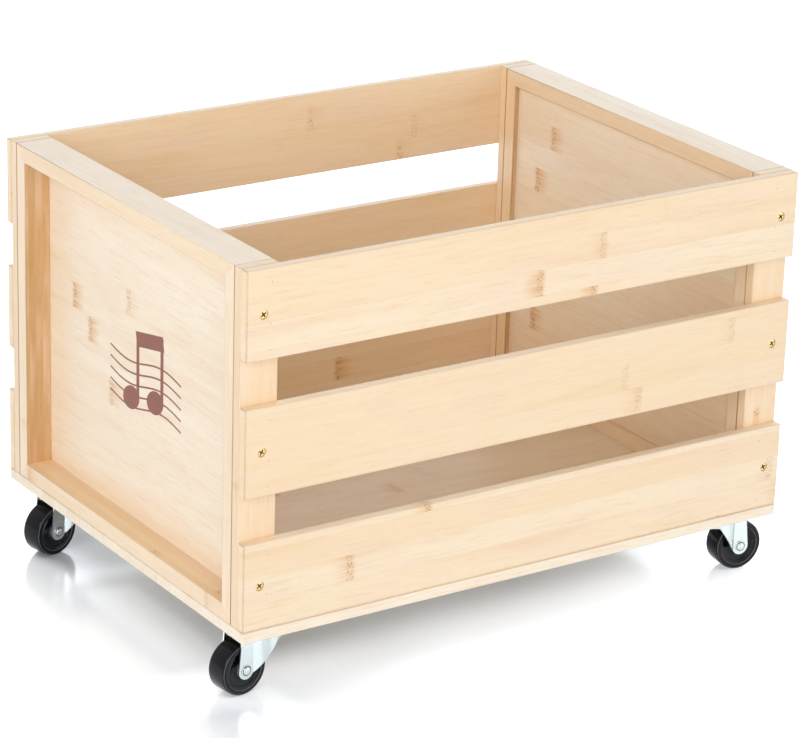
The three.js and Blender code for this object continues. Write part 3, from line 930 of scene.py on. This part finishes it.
def end_frame_board(end_name, kind, corners, inwards):
    """One mitred board, grooved for the panel, with painted shade on the face inside the frame."""
    node = f"{end_name}_end_{kind}"
    low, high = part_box(node)
    panel_low, panel_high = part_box(f"{end_name}_end_panel")
    post = kind.endswith("post")
    work = soften(prism(corners, 0, low.x, high.x), settings("bamboo").edge * 0.7)
    tools = [block([c - GROOVE_CLEAR for c in panel_low], [c + GROOVE_CLEAR for c in panel_high])]
    if post:
        tools += bores_near(low, high)
    kinds = bamboo_materials()
    inner = kinds["honey_bamboo" if post else "golden_bamboo"]
    finish = [kinds["edge_bamboo"], inner, kinds["sheet_bamboo"]]
    seams = [(1, min(c[0] for c in corners)), (1, max(c[0] for c in corners))]
    board = make_board(
        f"{node}_board", work, 2 if post else 1, 0, finish, [node], tools, painted_light=0.7, seams=seams
    )
    for face in board.data.polygons:
        upward = face.normal.z > 0.9 and face.center.z > 0.5 * (low.z + high.z)
        face.material_index = 2 * (kind == "top_rail" and upward)
        # Faces turned into the frame's opening take the painted shade.
        if face.normal.dot(inwards) > 0.9:
            face.material_index = 1


class STAND_OT_end_frames(Maker, Operator):
    """Makes the mitred boards of both end frames"""

    bl_idname = "stand.end_frames"
    bl_label = "End frames"

    def make(self):
        for end_name, _ in ENDS:
            for kind, corners, inwards in frame_boards(end_name):
                end_frame_board(end_name, kind, corners, inwards)


class STAND_OT_end_panels(Maker, Operator):
    """Makes the thin panels in the end frames"""

    bl_idname = "stand.end_panels"
    bl_label = "End panels"

    def make(self):
        for end_name, _ in ENDS:
            node = f"{end_name}_end_panel"
            work = soften(block(*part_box(node)), settings("bamboo").edge * 0.5)
            finish = [bamboo_materials()["sheet_bamboo"]]
            make_board(f"{node}_board", work, 1, 2, finish, [node], slot="bamboo_panel")


# ---------------------------------------------------------------- print

PRINT_HEIGHT = 178 * MM  # middle of the print above the floor
INK_HEIGHT, INK_SUNK = 0.05 * MM, 0.02 * MM  # the ink's reach out of the panel and into it
INK_STEP = 0.004 * MM  # keeps each outline's face clear of the one before


def stroke(points, width):
    """The outline of a stroke of even width along points."""
    left, right = [], []
    for i, point in enumerate(points):
        before = Vector(points[max(i - 1, 0)])
        after = Vector(points[min(i + 1, len(points) - 1)])
        way = (after - before).normalized()
        side = Vector((-way.y, way.x)) * width / 2
        left.append(Vector(point) + side)
        right.append(Vector(point) - side)
    return left + right[::-1]


def ellipse(centre, long, short, tilt, count=40):
    points = []
    for i in range(count):
        a = 2 * math.pi * i / count
        x, y = long * math.cos(a), short * math.sin(a)
        turn = (x * math.cos(tilt) - y * math.sin(tilt), x * math.sin(tilt) + y * math.cos(tilt))
        points.append(Vector(centre) + Vector(turn))
    return points


def note_outlines():
    """A pair of joined notes over five gently waved lines, in millimetres about the middle."""
    outlines = []
    for line in range(5):
        across = [-50 + 100 * i / 48 for i in range(49)]
        middle = 8.5 * (line - 2)
        wave = [(x, middle + 4.0 * math.sin(x / 50 * math.pi) - 4) for x in across]
        outlines.append(stroke(wave, 1.3))
    for x, y in ((-20.0, -18.0), (14.0, -11.0)):
        outlines.append(ellipse((x, y), 12.0, 8.6, math.radians(22)))
        outlines.append(stroke(((x + 9.6, y), (x + 9.6, y + 51.0)), 4.0))
    outlines.append(stroke(((-12.4, 28.4), (25.6, 35.9)), 11.0))
    return outlines


class STAND_OT_end_print(Maker, Operator):
    """Prints a plain pair of notes in the middle of the left end panel"""

    bl_idname = "stand.end_print"
    bl_label = "End print"

    def make(self):
        low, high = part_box("left_end_panel")
        middle = Vector(((low.y + high.y) / 2, PRINT_HEIGHT))
        work = bmesh.new()
        for i, outline in enumerate(note_outlines()):
            corners = [(middle.x - p.x * MM, middle.y + p.y * MM) for p in outline]
            face = low.x - (INK_HEIGHT + INK_STEP * i)
            add_work(work, prism(corners, 0, face, low.x + INK_SUNK))
        piece = new_object("end_print", mesh_from(work))
        finish_piece(piece, "bamboo_panel", [printed("brown_ink", shown(142, 88, 74))], CRATE)


# Small fasteners, in millimetres: brads inwards of each slat screw and above or below it,
# and the base screws' places along the slats and across the ends.
BRADS = ((6.0, 22.0), (5.0, -6.5), (5.0, -25.0))
UNDER_SLATS, UNDER_ENDS = (-150, -75, 0, 75, 150), (-75, 0, 75)


class STAND_OT_slat_screws(Maker, Operator):
    """Sets a cross recess screw in each countersunk hole"""

    bl_idname = "stand.slat_screws"
    bl_label = "Slat screws"

    def make(self):
        sizes = settings("fasteners")
        places = screw_places()
        drop = SCREW_HIGH.y - SCREW_LOW.y
        source = screw_source("screw", sizes.head, 1.75 * MM, drop, sizes.recess)
        set_fasteners("slat_screws", places.values(), source, screw_brass(), "screw_metal", places)


class STAND_OT_brads(Maker, Operator):
    """Sets the small brads near the ends of the slats"""

    bl_idname = "stand.brads"
    bl_label = "Brads"

    def make(self):
        sizes = settings("fasteners")
        places = []
        for point, facing in screw_places().values():
            side = facing[1]
            end = -1 if point.x < 0 else 1
            face = side * abs(SLAT_LOW.y)
            for inwards, rise in BRADS:
                x = point.x - end * inwards * MM
                places.append((Vector((x, face + side * 0.01 * MM, point.z + rise * MM)), facing))
        profile = [(0.0, 0.0), (sizes.brad * 0.8, -0.02 * MM), (sizes.brad, -0.08 * MM)]
        profile += [(sizes.brad, -0.6 * MM), (0.0, -0.6 * MM)]
        source = new_object("brad", smooth(mesh_from(turned(profile, 12))))
        finish = metal("brad_steel", shown(96, 66, 44), 0.6, 0.6)
        set_fasteners("brads", places, source, finish, "screw_metal")


class STAND_OT_base_screws(Maker, Operator):
    """Sets the screws that hold the base board, under its edges"""

    bl_idname = "stand.base_screws"
    bl_label = "Base screws"

    def make(self):
        spots = []
        for _, side in SIDES:
            y = side * (abs(SLAT_LOW.y) - 3.75 * MM)
            spots += [(x * MM, y) for x in UNDER_SLATS]
        for _, end in ENDS:
            x = end * (BASE_HIGH.x - 9 * MM)
            spots += [(x, y * MM) for y in UNDER_ENDS]
        places = [(Vector((x, y, BASE_LOW.z - 0.02 * MM)), (0, 0, -1)) for x, y in spots]
        source = screw_source("base_screw", 3.2 * MM, 1.6 * MM, drop=7 * MM, reach=2 * MM)
        set_fasteners("base_screws", places, source, screw_brass(), "screw_metal")


# ---------------------------------------------------------------- casters

# Heights below the base board, in millimetres. Each caster's own frame has the swivel axis
# as Z and its wheel trailing along +X.
PLATE_BOTTOM = -2.0
BOSS_BOTTOM = -3.2
RACE_TOP, RACE_BOTTOM = -3.5, -5.3
CROWN_TOP = -5.6
SKIRT_BOTTOM = -9.6
CROWN_RADIUS = 17.0
LEG_OUTSIDE = 10.1
NOSE = 3.3
FOOT_RADIUS = 6.5
LEG_LEAN = 2.6
WHEEL_HALF = 8.5
PLATE_HOLES = [(x, y) for x in (-14.0, 14.0) for y in (-14.0, 14.0)]
PIN_HOLE = 3.3
HIGHLIGHT_RINGS = ((5.9, 6.5), (14.9, 15.3), (17.9, 18.4))  # where painted highlights mark the wheel's edges
RIVET_GROOVE = (3.1, 3.72)


def caster_frame(name, swivels):
    """The place of a caster. Its X runs to the wheel if it swivels, or else along the crate."""
    hub = Vector(JOINTS[f"{name}_swivel_turn"]["pos_m"])
    wheel = Vector(JOINTS[f"{name}_wheel_roll"]["pos_m"])
    place = Matrix.Translation((hub.x, hub.y, BASE_LOW.z))
    if swivels:
        place = place @ Matrix.Rotation(math.atan2(wheel.y - hub.y, wheel.x - hub.x), 4, "Z")
    return place @ Matrix.Diagonal((MM, MM, MM, 1.0))


def axle_place():
    """The axle in a caster's own frame, in millimetres: how far back, and how low."""
    hub = Vector(JOINTS["front_left_swivel_turn"]["pos_m"])
    wheel = Vector(JOINTS["front_left_wheel_roll"]["pos_m"])
    return (wheel.xy - hub.xy).length / MM, (wheel.z - BASE_LOW.z) / MM


def axle_frame(name):
    """A caster's frame moved to its axle, with Z along it."""
    back, low = axle_place()
    turn = Matrix.Rotation(math.pi / 2, 4, "X")
    return caster_frame(name, True) @ Matrix.Translation((back, 0, low)) @ turn


def arc(centre, radius, start, end, count):
    """Points on an arc, with angles in degrees."""
    points = []
    for i in range(count + 1):
        a = math.radians(start + (end - start) * i / count)
        points.append((centre[0] + radius * math.cos(a), centre[1] + radius * math.sin(a)))
    return points


def wheel_profile():
    """The wheel's section: hub, dished web, stepped ledge, rim and rounded tread."""
    _, low = axle_place()
    radius = low + BASE_LOW.z / MM
    h = WHEEL_HALF
    side = [(2.8, h), (5.6, h)] + arc((5.6, h - 0.9), 0.9, 80, 10, 4) + [(7.0, h - 1.7)]
    side += [(7.6, h - 1.95), (9.4, h - 2.0), (11.6, h - 1.75), (12.3, h - 1.45)]
    side += [(12.6, h - 0.9), (12.9, h - 0.72), (14.3, h - 0.7), (14.6, h - 0.55)]
    side += arc((15.4, h - 0.5), 0.5, 165, 90, 4)
    side += arc((radius - 2.0, h - 2.0), 2.0, 90, 8, 8)
    tread = [(radius, 0.0)]
    return side + tread + [(r, -z) for r, z in reversed(side)]


class STAND_OT_caster_wheels(Maker, Operator):
    """Makes the four moulded wheels"""

    bl_idname = "stand.caster_wheels"
    bl_label = "Caster wheels"

    def make(self):
        sizes = settings("casters")
        finish = moulded("moulded_wheel", tuple(sizes.rubber))
        for name in CASTERS:
            work = turned(wheel_profile(), sizes.segments, axle_frame(name), closed=True)
            piece = new_object(f"{name}_wheel", smooth(mesh_from(work), 42))
            mark_rings(piece.data, axle_frame(name), "painted_highlight", HIGHLIGHT_RINGS)
            node = f"{name}_caster_wheel"
            finish_piece(piece, "wheel_plastic", [finish], f"{name}_wheel", node)


def lower_edge(x):
    """How low the fork's side reaches at x, ahead of its foot."""
    back, low = axle_place()
    front = Vector((-NOSE, SKIRT_BOTTOM))
    foot = Vector((back, low))
    reach = foot - front
    angle = math.atan2(reach.y, reach.x) - math.asin(FOOT_RADIUS / reach.length)
    if x <= front.x:
        return SKIRT_BOTTOM
    return front.y + (x - front.x) * math.tan(angle)


def leg_outline():
    """The leg's side view in X and Z: foot, top corner, crease and the ends of the foot's arc."""
    back, low = axle_place()
    foot = Vector((back, low))
    top = Vector((back + FOOT_RADIUS - LEG_LEAN, CROWN_TOP))
    crease = math.sqrt(CROWN_RADIUS ** 2 - LEG_OUTSIDE ** 2)

    def tangent(point, turn):
        reach = point - foot
        return math.atan2(reach.y, reach.x) + turn * math.acos(FOOT_RADIUS / reach.length)

    start = tangent(Vector((-NOSE, SKIRT_BOTTOM)), 1)
    end = tangent(top, -1) + 2 * math.pi
    return foot, top, crease, start if start > 0 else start + 2 * math.pi, end


def fork_wall(rows, leg_columns, round_columns):
    """A grid of points for the fork's outer face, from one trailing edge round to the other."""
    foot, top, crease, start, end = leg_outline()
    low_crease = lower_edge(crease)
    corner = Vector((crease, low_crease))

    def on_foot(angle):
        return foot + FOOT_RADIUS * Vector((math.cos(angle), math.sin(angle)))

    straight = (on_foot(start) - corner).length
    edges = []
    for i in range(leg_columns + 1):
        t = i / leg_columns
        upper = Vector((crease + (top.x - crease) * t, CROWN_TOP))
        s = t * (straight + FOOT_RADIUS * (end - start))
        if s < straight:
            lower = corner.lerp(on_foot(start), s / straight)
        else:
            lower = on_foot(start + (s - straight) / FOOT_RADIUS)
        edges.append((t, upper, lower))
    first, last = edges[0], edges[-1]
    grid = []
    for t, upper, lower in reversed(edges):
        column = []
        for j in range(rows + 1):
            r = j / rows
            left = Vector((crease, CROWN_TOP + (low_crease - CROWN_TOP) * r))
            sides = left.lerp(last[1].lerp(last[2], r), t)
            ends = upper.lerp(lower, r)
            flat = first[1].lerp(last[1], t).lerp(first[2].lerp(last[2], t), r)
            point = sides + ends - flat
            column.append(Vector((point.x, LEG_OUTSIDE, point.y)))
        grid.append(column)
    turn = math.asin(LEG_OUTSIDE / CROWN_RADIUS)
    for i in range(1, round_columns):
        a = turn + (2 * math.pi - 2 * turn) * i / round_columns
        x, y = CROWN_RADIUS * math.cos(a), CROWN_RADIUS * math.sin(a)
        drop = lower_edge(x) - CROWN_TOP
        grid.append([Vector((x, y, CROWN_TOP + drop * j / rows)) for j in range(rows + 1)])
    mirrored = [[Vector((p.x, -p.y, p.z)) for p in column] for column in grid[: leg_columns + 1]]
    return grid + mirrored[::-1]


def fork_shell(bend):
    """The fork's outer face as one open sheet: side walls, rounded bend and drilled crown."""
    rows, leg_columns, round_columns = 18, 22, 64
    work = bmesh.new()
    made = [
        [work.verts.new(point) for point in column]
        for column in fork_wall(rows, leg_columns, round_columns)
    ]
    for first, second in zip(made, made[1:]):
        for j in range(rows):
            work.faces.new((first[j], second[j], second[j + 1], first[j + 1]))
    rim = [column[0] for column in made]
    hole = [work.verts.new((x, y, CROWN_TOP)) for x, y in arc((0, 0), PIN_HOLE, 0, 345, 23)]
    outline = []
    for loop in (rim, hole):
        for first, second in zip(loop, loop[1:] + loop[:1]):
            found = work.edges.get((first, second)) or work.edges.new((first, second))
            outline.append(found)
    bmesh.ops.triangle_fill(work, edges=outline, use_beauty=True)
    bmesh.ops.recalc_face_normals(work, faces=work.faces)
    edges = [work.edges.get((a, b)) for a, b in zip(rim, rim[1:])]
    round_edges(work, edges, bend, 5)
    return work


def make_fork(name, sizes, finish):
    """One fork: the shell gets its thickness inwards and a small bevel on its cut edges."""
    work = fork_shell(0.7 * sizes.bend / MM)
    work.transform(caster_frame(name, True))
    mesh = bpy.data.meshes.new("fork")
    bmesh.ops.recalc_face_normals(work, faces=work.faces)
    up = [f for f in work.faces if abs(f.normal.z) > 0.99]
    if sum(f.normal.z * f.calc_area() for f in up) < 0:
        bmesh.ops.reverse_faces(work, faces=work.faces)
    work.to_mesh(mesh)
    work.free()
    piece = new_object(f"{name}_fork", mesh)
    for material in finish:
        mesh.materials.append(material)
    wall = piece.modifiers.new("Wall", "SOLIDIFY")
    wall.thickness = sizes.sheet
    wall.offset = -1
    wall.use_even_offset = True
    # Rim faces, the cut edges, take the second finish: a painted highlight.
    wall.material_offset_rim = 1
    edge = piece.modifiers.new("Edge", "BEVEL")
    edge.width = 0.2 * MM
    edge.segments = 2
    edge.limit_method = "ANGLE"
    edge.angle_limit = math.radians(60)
    piece.data = evaluated(piece)
    smooth(piece.data, 40)
    finish_piece(piece, "zinc_plated_steel", None, f"{name}_swivel", f"{name}_caster_fork")


class STAND_OT_caster_forks(Maker, Operator):
    """Makes the four pressed forks"""

    bl_idname = "stand.caster_forks"
    bl_label = "Caster forks"

    def make(self):
        sizes = settings("casters")
        # The fork's cut edges take a paler zinc, a painted highlight.
        highlight_shade = [0.3 * c + 0.7 for c in sizes.zinc]
        finish = [zinc_plate(), metal("sheared_zinc", highlight_shade, 0.3, 0.95)]
        for name in CASTERS:
            make_fork(name, sizes, finish)


class STAND_OT_caster_axles(Maker, Operator):
    """Makes the riveted axles"""

    bl_idname = "stand.caster_axles"
    bl_label = "Caster axles"

    def make(self):
        finish = zinc_plate()
        inner = LEG_OUTSIDE + 0.05
        side = [(2.5, inner), (4.3, inner), (4.3, inner + 0.35), (4.1, inner + 0.5)]
        side += [(3.7, inner + 0.5), (3.5, inner + 0.2), (3.2, inner + 0.2), (3.15, inner + 0.7)]
        side += [(2.8, inner + 1.15), (1.9, inner + 1.5), (1.0, inner + 1.62), (0.0, inner + 1.66)]
        profile = [(r, -z) for r, z in reversed(side)] + side
        for name in CASTERS:
            work = turned(profile, 40, axle_frame(name))
            piece = new_object(f"{name}_axle", smooth(mesh_from(work)))
            # The groove round the rivet's dome gets painted shade.
            mark_rings(piece.data, axle_frame(name), "recess", (RIVET_GROOVE,))
            finish_piece(
                piece, "zinc_plated_steel", [finish], f"{name}_swivel", f"{name}_caster_axle"
            )


def plate_mesh(matrix):
    """A pressed mounting plate with rounded corners, screw holes and a ball race boss."""
    half, corner, top = 19.0, 4.0, -0.02
    outline = []
    for i, (x, y) in enumerate(((1, 1), (-1, 1), (-1, -1), (1, -1))):
        outline += arc((x * (half - corner), y * (half - corner)), corner, 90 * i, 90 * i + 90, 8)
    loops = [outline, arc((0, 0), PIN_HOLE, 0, 348, 29)]
    loops += [arc(place, 2.2, 0, 345, 23) for place in PLATE_HOLES]
    work = bmesh.new()
    edges = []
    for loop in loops:
        ring = [work.verts.new((x, y, top)) for x, y in loop]
        edges += [work.edges.new((a, b)) for a, b in zip(ring, ring[1:] + ring[:1])]
    bmesh.ops.triangle_fill(work, edges=edges, use_beauty=True)
    made = bmesh.ops.extrude_face_region(work, geom=work.faces[:])
    moved = [v for v in made["geom"] if isinstance(v, bmesh.types.BMVert)]
    bmesh.ops.translate(work, verts=moved, vec=(0, 0, PLATE_BOTTOM - top))
    boss = [(8.5, PLATE_BOTTOM + 0.3), (8.5, BOSS_BOTTOM), (12.2, BOSS_BOTTOM)]
    boss += [(13.0, BOSS_BOTTOM + 0.35), (13.8, PLATE_BOTTOM - 0.1), (13.8, PLATE_BOTTOM + 0.3)]
    add_work(work, turned(boss, 64, closed=True))
    work.transform(matrix)
    return mesh_from(work)


class STAND_OT_caster_plates(Maker, Operator):
    """Makes the mounting plates with their ball races and king pins"""

    bl_idname = "stand.caster_plates"
    bl_label = "Caster plates"

    def make(self):
        finish = zinc_plate()
        race = [(8.5, RACE_BOTTOM), (12.6, RACE_BOTTOM)]
        race += arc((12.6, (RACE_TOP + RACE_BOTTOM) / 2), 0.9, -90, 90, 8) + [(8.5, RACE_TOP)]
        pin = [(0.0, -0.3), (4.5, -0.3), (4.5, -1.2), (3.0, -1.2), (3.0, -7.1), (5.2, -7.1)]
        pin += [(5.5, -7.5), (5.2, -8.1), (3.9, -8.65), (0.0, -8.8)]
        for name in CASTERS:
            place = caster_frame(name, False)
            meshes = {
                "plate": plate_mesh(place),
                "ball_race": mesh_from(turned(race, 64, place, closed=True)),
                "king_pin": mesh_from(turned(pin, 40, place)),
            }
            for part, mesh in meshes.items():
                piece = new_object(f"{name}_{part}", smooth(mesh))
                node = f"{name}_caster_{part}"
                finish_piece(piece, "zinc_plated_steel", [finish], CRATE, node)


class STAND_OT_plate_screws(Maker, Operator):
    """Sets a domed screw in each hole of the caster plates"""

    bl_idname = "stand.plate_screws"
    bl_label = "Plate screws"

    def make(self):
        places = []
        for name in CASTERS:
            place = caster_frame(name, False)
            for x, y in PLATE_HOLES:
                places.append((place @ Vector((x, y, PLATE_BOTTOM - 0.35)), (0, 0, -1)))
        source = screw_source(
            "plate_screw", 3.6 * MM, 1.7 * MM, drop=9 * MM, reach=2 * MM, dome=1.2 * MM
        )
        steel, recess_shade = tuple(settings("fasteners").steel), (0.1, 0.1, 0.1)
        finish = metal("screw_steel", steel, 0.3, 0.8, recess_shade)
        set_fasteners("plate_screws", places, source, finish, "zinc_plated_steel")


# ---------------------------------------------------------------- stage

FLOOR_HALF = 40.0
SKY_REACH = 0.35  # how far round a spot of the floor the crate takes light from it
LAMP_AIM = (0, 0, 0.15)


def stage_floor(shade):
    """A wide floor that the camera sees as white where nothing stands over it. Its shadow is partly
    real and partly painted by a glow that only the camera and reflections see.
    """
    work = bmesh.new()
    bmesh.ops.create_grid(work, x_segments=1, y_segments=1, size=FLOOR_HALF)
    floor = new_object("floor", mesh_from(work))
    material, graph, shader = new_material("floor_paint", Roughness=0.16, IOR=1.8)
    place = graph.add("ShaderNodeTexCoord").outputs["Object"]
    cloud = graph.noise(place, 3.0)
    tone = graph.mix(graph.ramp(cloud, 0.3, 0.7, 0.0, 0.02), rgba(shade), (0.9, 0.9, 0.9, 1.0))
    graph.put(shader.inputs["Base Color"], tone)
    x, y, _ = graph.split(place)
    beyond = []
    for along, half in ((x, CAD_BOX[1].x), (y, CAD_BOX[1].y)):
        past = graph.minus(graph.math("ABSOLUTE", along), half)
        beyond.append(graph.math("MAXIMUM", past, 0.0))
    away = {0: graph.vector(*beyond, 0.0)}
    clear = graph.add("ShaderNodeVectorMath", away, operation="LENGTH").outputs["Value"]
    open_sky = graph.add("ShaderNodeAmbientOcclusion", {"Distance": SKY_REACH}).outputs["AO"]
    inside = (clear, 0.0, 20 * MM, 1.0, 0.0)
    # Under the back left corner the floor would mirror the bright sky, so it has no shine there,
    # and its glow is cut for a darker painted shadow.
    corner = ((y, 45 * MM, 100 * MM), (x, -235 * MM, -178 * MM), inside)
    # Each row is one painted lightening or darkening of the floor's glow: ramps that are
    # multiplied.
    causes = (
        ((open_sky, 0.1, 0.62, 0.0, 0.5),),  # open to the sky
        ((open_sky, 0.7, 1.0, 0.0, -0.26),),
        ((clear, 0.0, 100 * MM, 0.0, 0.25),),  # away from the crate
        ((clear, 0.2, 2.2, 0.0, 0.5),),
        ((y, 0.0, -0.2), (x, -0.22, 0.0, 0.0, 0.33)),  # towards the front
        (inside, (x, -0.1, -0.21, 0.0, -0.06)),  # under the left end
        ((y, -85 * MM, -125 * MM), (y, -128 * MM, -172 * MM, 1.0, 0.0),
         (x, -80 * MM, -190 * MM, 0.16, 0.36)),  # under the front edge
        ((x, -182 * MM, -200 * MM), (x, -210 * MM, -240 * MM, 1.0, 0.0),
         (y, 65 * MM, 40 * MM, 0.0, 0.13)),  # along the left edge
    )

    def product(ramps):
        return graph.times(*(graph.ramp(*values) for values in ramps))

    lift = graph.plus(*(product(ramps) for ramps in causes))
    dull = product(corner)
    lift = graph.math("MAXIMUM", graph.minus(lift, graph.times(dull, 0.45)), 0.0)
    graph.put(shader.inputs["Metallic"], graph.ramp(dull, 0.0, 1.0, 0.27, 0.0))
    graph.put(shader.inputs["Specular IOR Level"], graph.ramp(dull, 0.0, 1.0, 0.5, 0.05))
    # The glow, which only the camera and reflections see, paints the floor white and shapes its
    # shadow.
    path = graph.add("ShaderNodeLightPath").outputs
    seen = graph.math("MAXIMUM", path["Is Camera Ray"], path["Is Glossy Ray"])
    glow = graph.add("ShaderNodeEmission", {"Color": (1.0, 1.0, 1.0, 1.0)})
    graph.put(glow.inputs["Strength"], graph.times(seen, lift))
    total = graph.add("ShaderNodeAddShader", {0: shader.outputs[0], 1: glow.outputs[0]})
    target = next(n for n in graph.tree.nodes if n.type == "OUTPUT_MATERIAL")
    graph.put(target.inputs["Surface"], total.outputs[0])
    floor.data.materials.append(material)


def stage_sky(horizon, zenith):
    """An even light all round, dimmer above, seen as white by the camera and in reflections."""
    world = bpy.data.worlds.new("studio")
    bpy.context.scene.world = world
    world.use_nodes = True
    graph = Graph(world.node_tree)
    backdrop = next(n for n in graph.tree.nodes if n.type == "BACKGROUND")
    way = graph.add("ShaderNodeTexCoord").outputs["Generated"]
    rise = graph.split(way)[2]
    height = graph.math("POWER", graph.math("MAXIMUM", rise, 0.0), 0.5)
    strength = graph.add(
        "ShaderNodeMapRange", {"Value": height, "To Min": horizon, "To Max": zenith}
    ).outputs["Result"]
    path = graph.add("ShaderNodeLightPath").outputs
    seen = graph.math("MAXIMUM", path["Is Camera Ray"], path["Is Glossy Ray"])
    seen = graph.math("MAXIMUM", seen, path["Is Transmission Ray"])
    white = graph.add("ShaderNodeMapRange", {"Value": seen, "To Min": strength, "To Max": 1.0})
    backdrop.inputs["Color"].default_value = (1.0, 1.0, 1.0, 1.0)
    graph.put(backdrop.inputs["Strength"], white.outputs["Result"])


def stage_lamp(name, place, size, watts):
    """A square soft lamp that points at the middle of the crate."""
    data = bpy.data.lights.new(name, "AREA")
    data.shape = "SQUARE"
    data.size = size
    data.energy = watts
    lamp = bpy.data.objects.new(name, data)
    lamp.location = place
    lamp.rotation_mode = "QUATERNION"
    aim = Vector(LAMP_AIM) - Vector(place)
    lamp.rotation_quaternion = aim.to_track_quat("-Z", "Y")
    bpy.context.scene.collection.objects.link(lamp)


CAMERA_PLACE = (-1.31568, -1.9685, 1.03925)
CAMERA_LENS, CAMERA_SENSOR, CAMERA_REACH = 155.175, 36.0, 200.0
CAMERA_ROWS = (
    (0.835995, -0.547996, 0.02851),
    (0.17053, 0.308834, 0.935704),
    (-0.521566, -0.777382, 0.351633),
)


def stage_camera():
    """The camera at the photograph's place: rows are its right, up and backward directions."""
    turn = Matrix(CAMERA_ROWS).transposed().to_4x4()
    data = bpy.data.cameras.new("camera")
    data.sensor_fit = "HORIZONTAL"
    data.sensor_width = CAMERA_SENSOR
    data.lens = CAMERA_LENS
    data.clip_end = CAMERA_REACH
    camera = bpy.data.objects.new("camera", data)
    camera.matrix_world = Matrix.Translation(CAMERA_PLACE) @ turn
    bpy.context.scene.collection.objects.link(camera)
    bpy.context.scene.camera = camera


class STAND_OT_stage(Maker, Operator):
    """Sets the floor, the soft studio light and the camera"""

    bl_idname = "stand.stage"
    bl_label = "Stage"

    def make(self):
        light = settings("stage")
        stage_floor(tuple(light.floor))
        stage_sky(light.horizon, light.zenith)
        stage_lamp("key", (-2.1, -2.5, 1.5), 2.5, light.key)
        stage_lamp("fill", (2.2, -2.6, 1.2), 2.5, light.fill)
        stage_lamp("side", (-3.0, -0.9, 1.7), 1.2, light.side)
        stage_lamp("back", (2.1, 3.1, 1.8), 2.5, light.rim)
        stage_lamp("glint", (-2.6, -1.6, 1.9), 0.3, light.glint)
        stage_camera()
        bpy.context.scene.view_settings.view_transform = "Standard"


# ---------------------------------------------------------------- panel and run

PIECES = (
    STAND_OT_base_board, STAND_OT_slats, STAND_OT_battens, STAND_OT_end_frames,
    STAND_OT_end_panels, STAND_OT_end_print, STAND_OT_slat_screws, STAND_OT_brads,
    STAND_OT_base_screws, STAND_OT_caster_wheels, STAND_OT_caster_forks, STAND_OT_caster_axles,
    STAND_OT_caster_plates, STAND_OT_plate_screws, STAND_OT_stage,
)
GROUPS = {
    "bamboo": BambooSettings, "fasteners": FastenerSettings, "casters": CasterSettings,
    "stage": StageSettings,
}


class STAND_PT_pieces(Panel):
    """Lists the pieces of the record stand and their settings"""

    bl_idname = "STAND_PT_pieces"
    bl_label = "Record stand"
    bl_space_type = "VIEW_3D"
    bl_region_type = "UI"
    bl_category = "Record stand"

    def draw(self, context):
        for name, group in GROUPS.items():
            box = self.layout.box()
            box.label(text=name.capitalize())
            for key in group.__annotations__:
                box.prop(settings(name), key)
        for piece in PIECES:
            self.layout.operator(piece.bl_idname)


def register():
    for name, group in GROUPS.items():
        bpy.utils.register_class(group)
        setattr(bpy.types.Scene, "record_stand_" + name, PointerProperty(type=group))
    for piece in PIECES:
        bpy.utils.register_class(piece)
    bpy.utils.register_class(STAND_PT_pieces)


def unregister():
    bpy.utils.unregister_class(STAND_PT_pieces)
    for piece in reversed(PIECES):
        bpy.utils.unregister_class(piece)
    for name, group in GROUPS.items():
        delattr(bpy.types.Scene, "record_stand_" + name)
        bpy.utils.unregister_class(group)


def main():
    register()
    for piece in PIECES:
        getattr(bpy.ops.stand, piece.bl_idname.split(".")[1])()


if __name__ == "__main__":
    main()
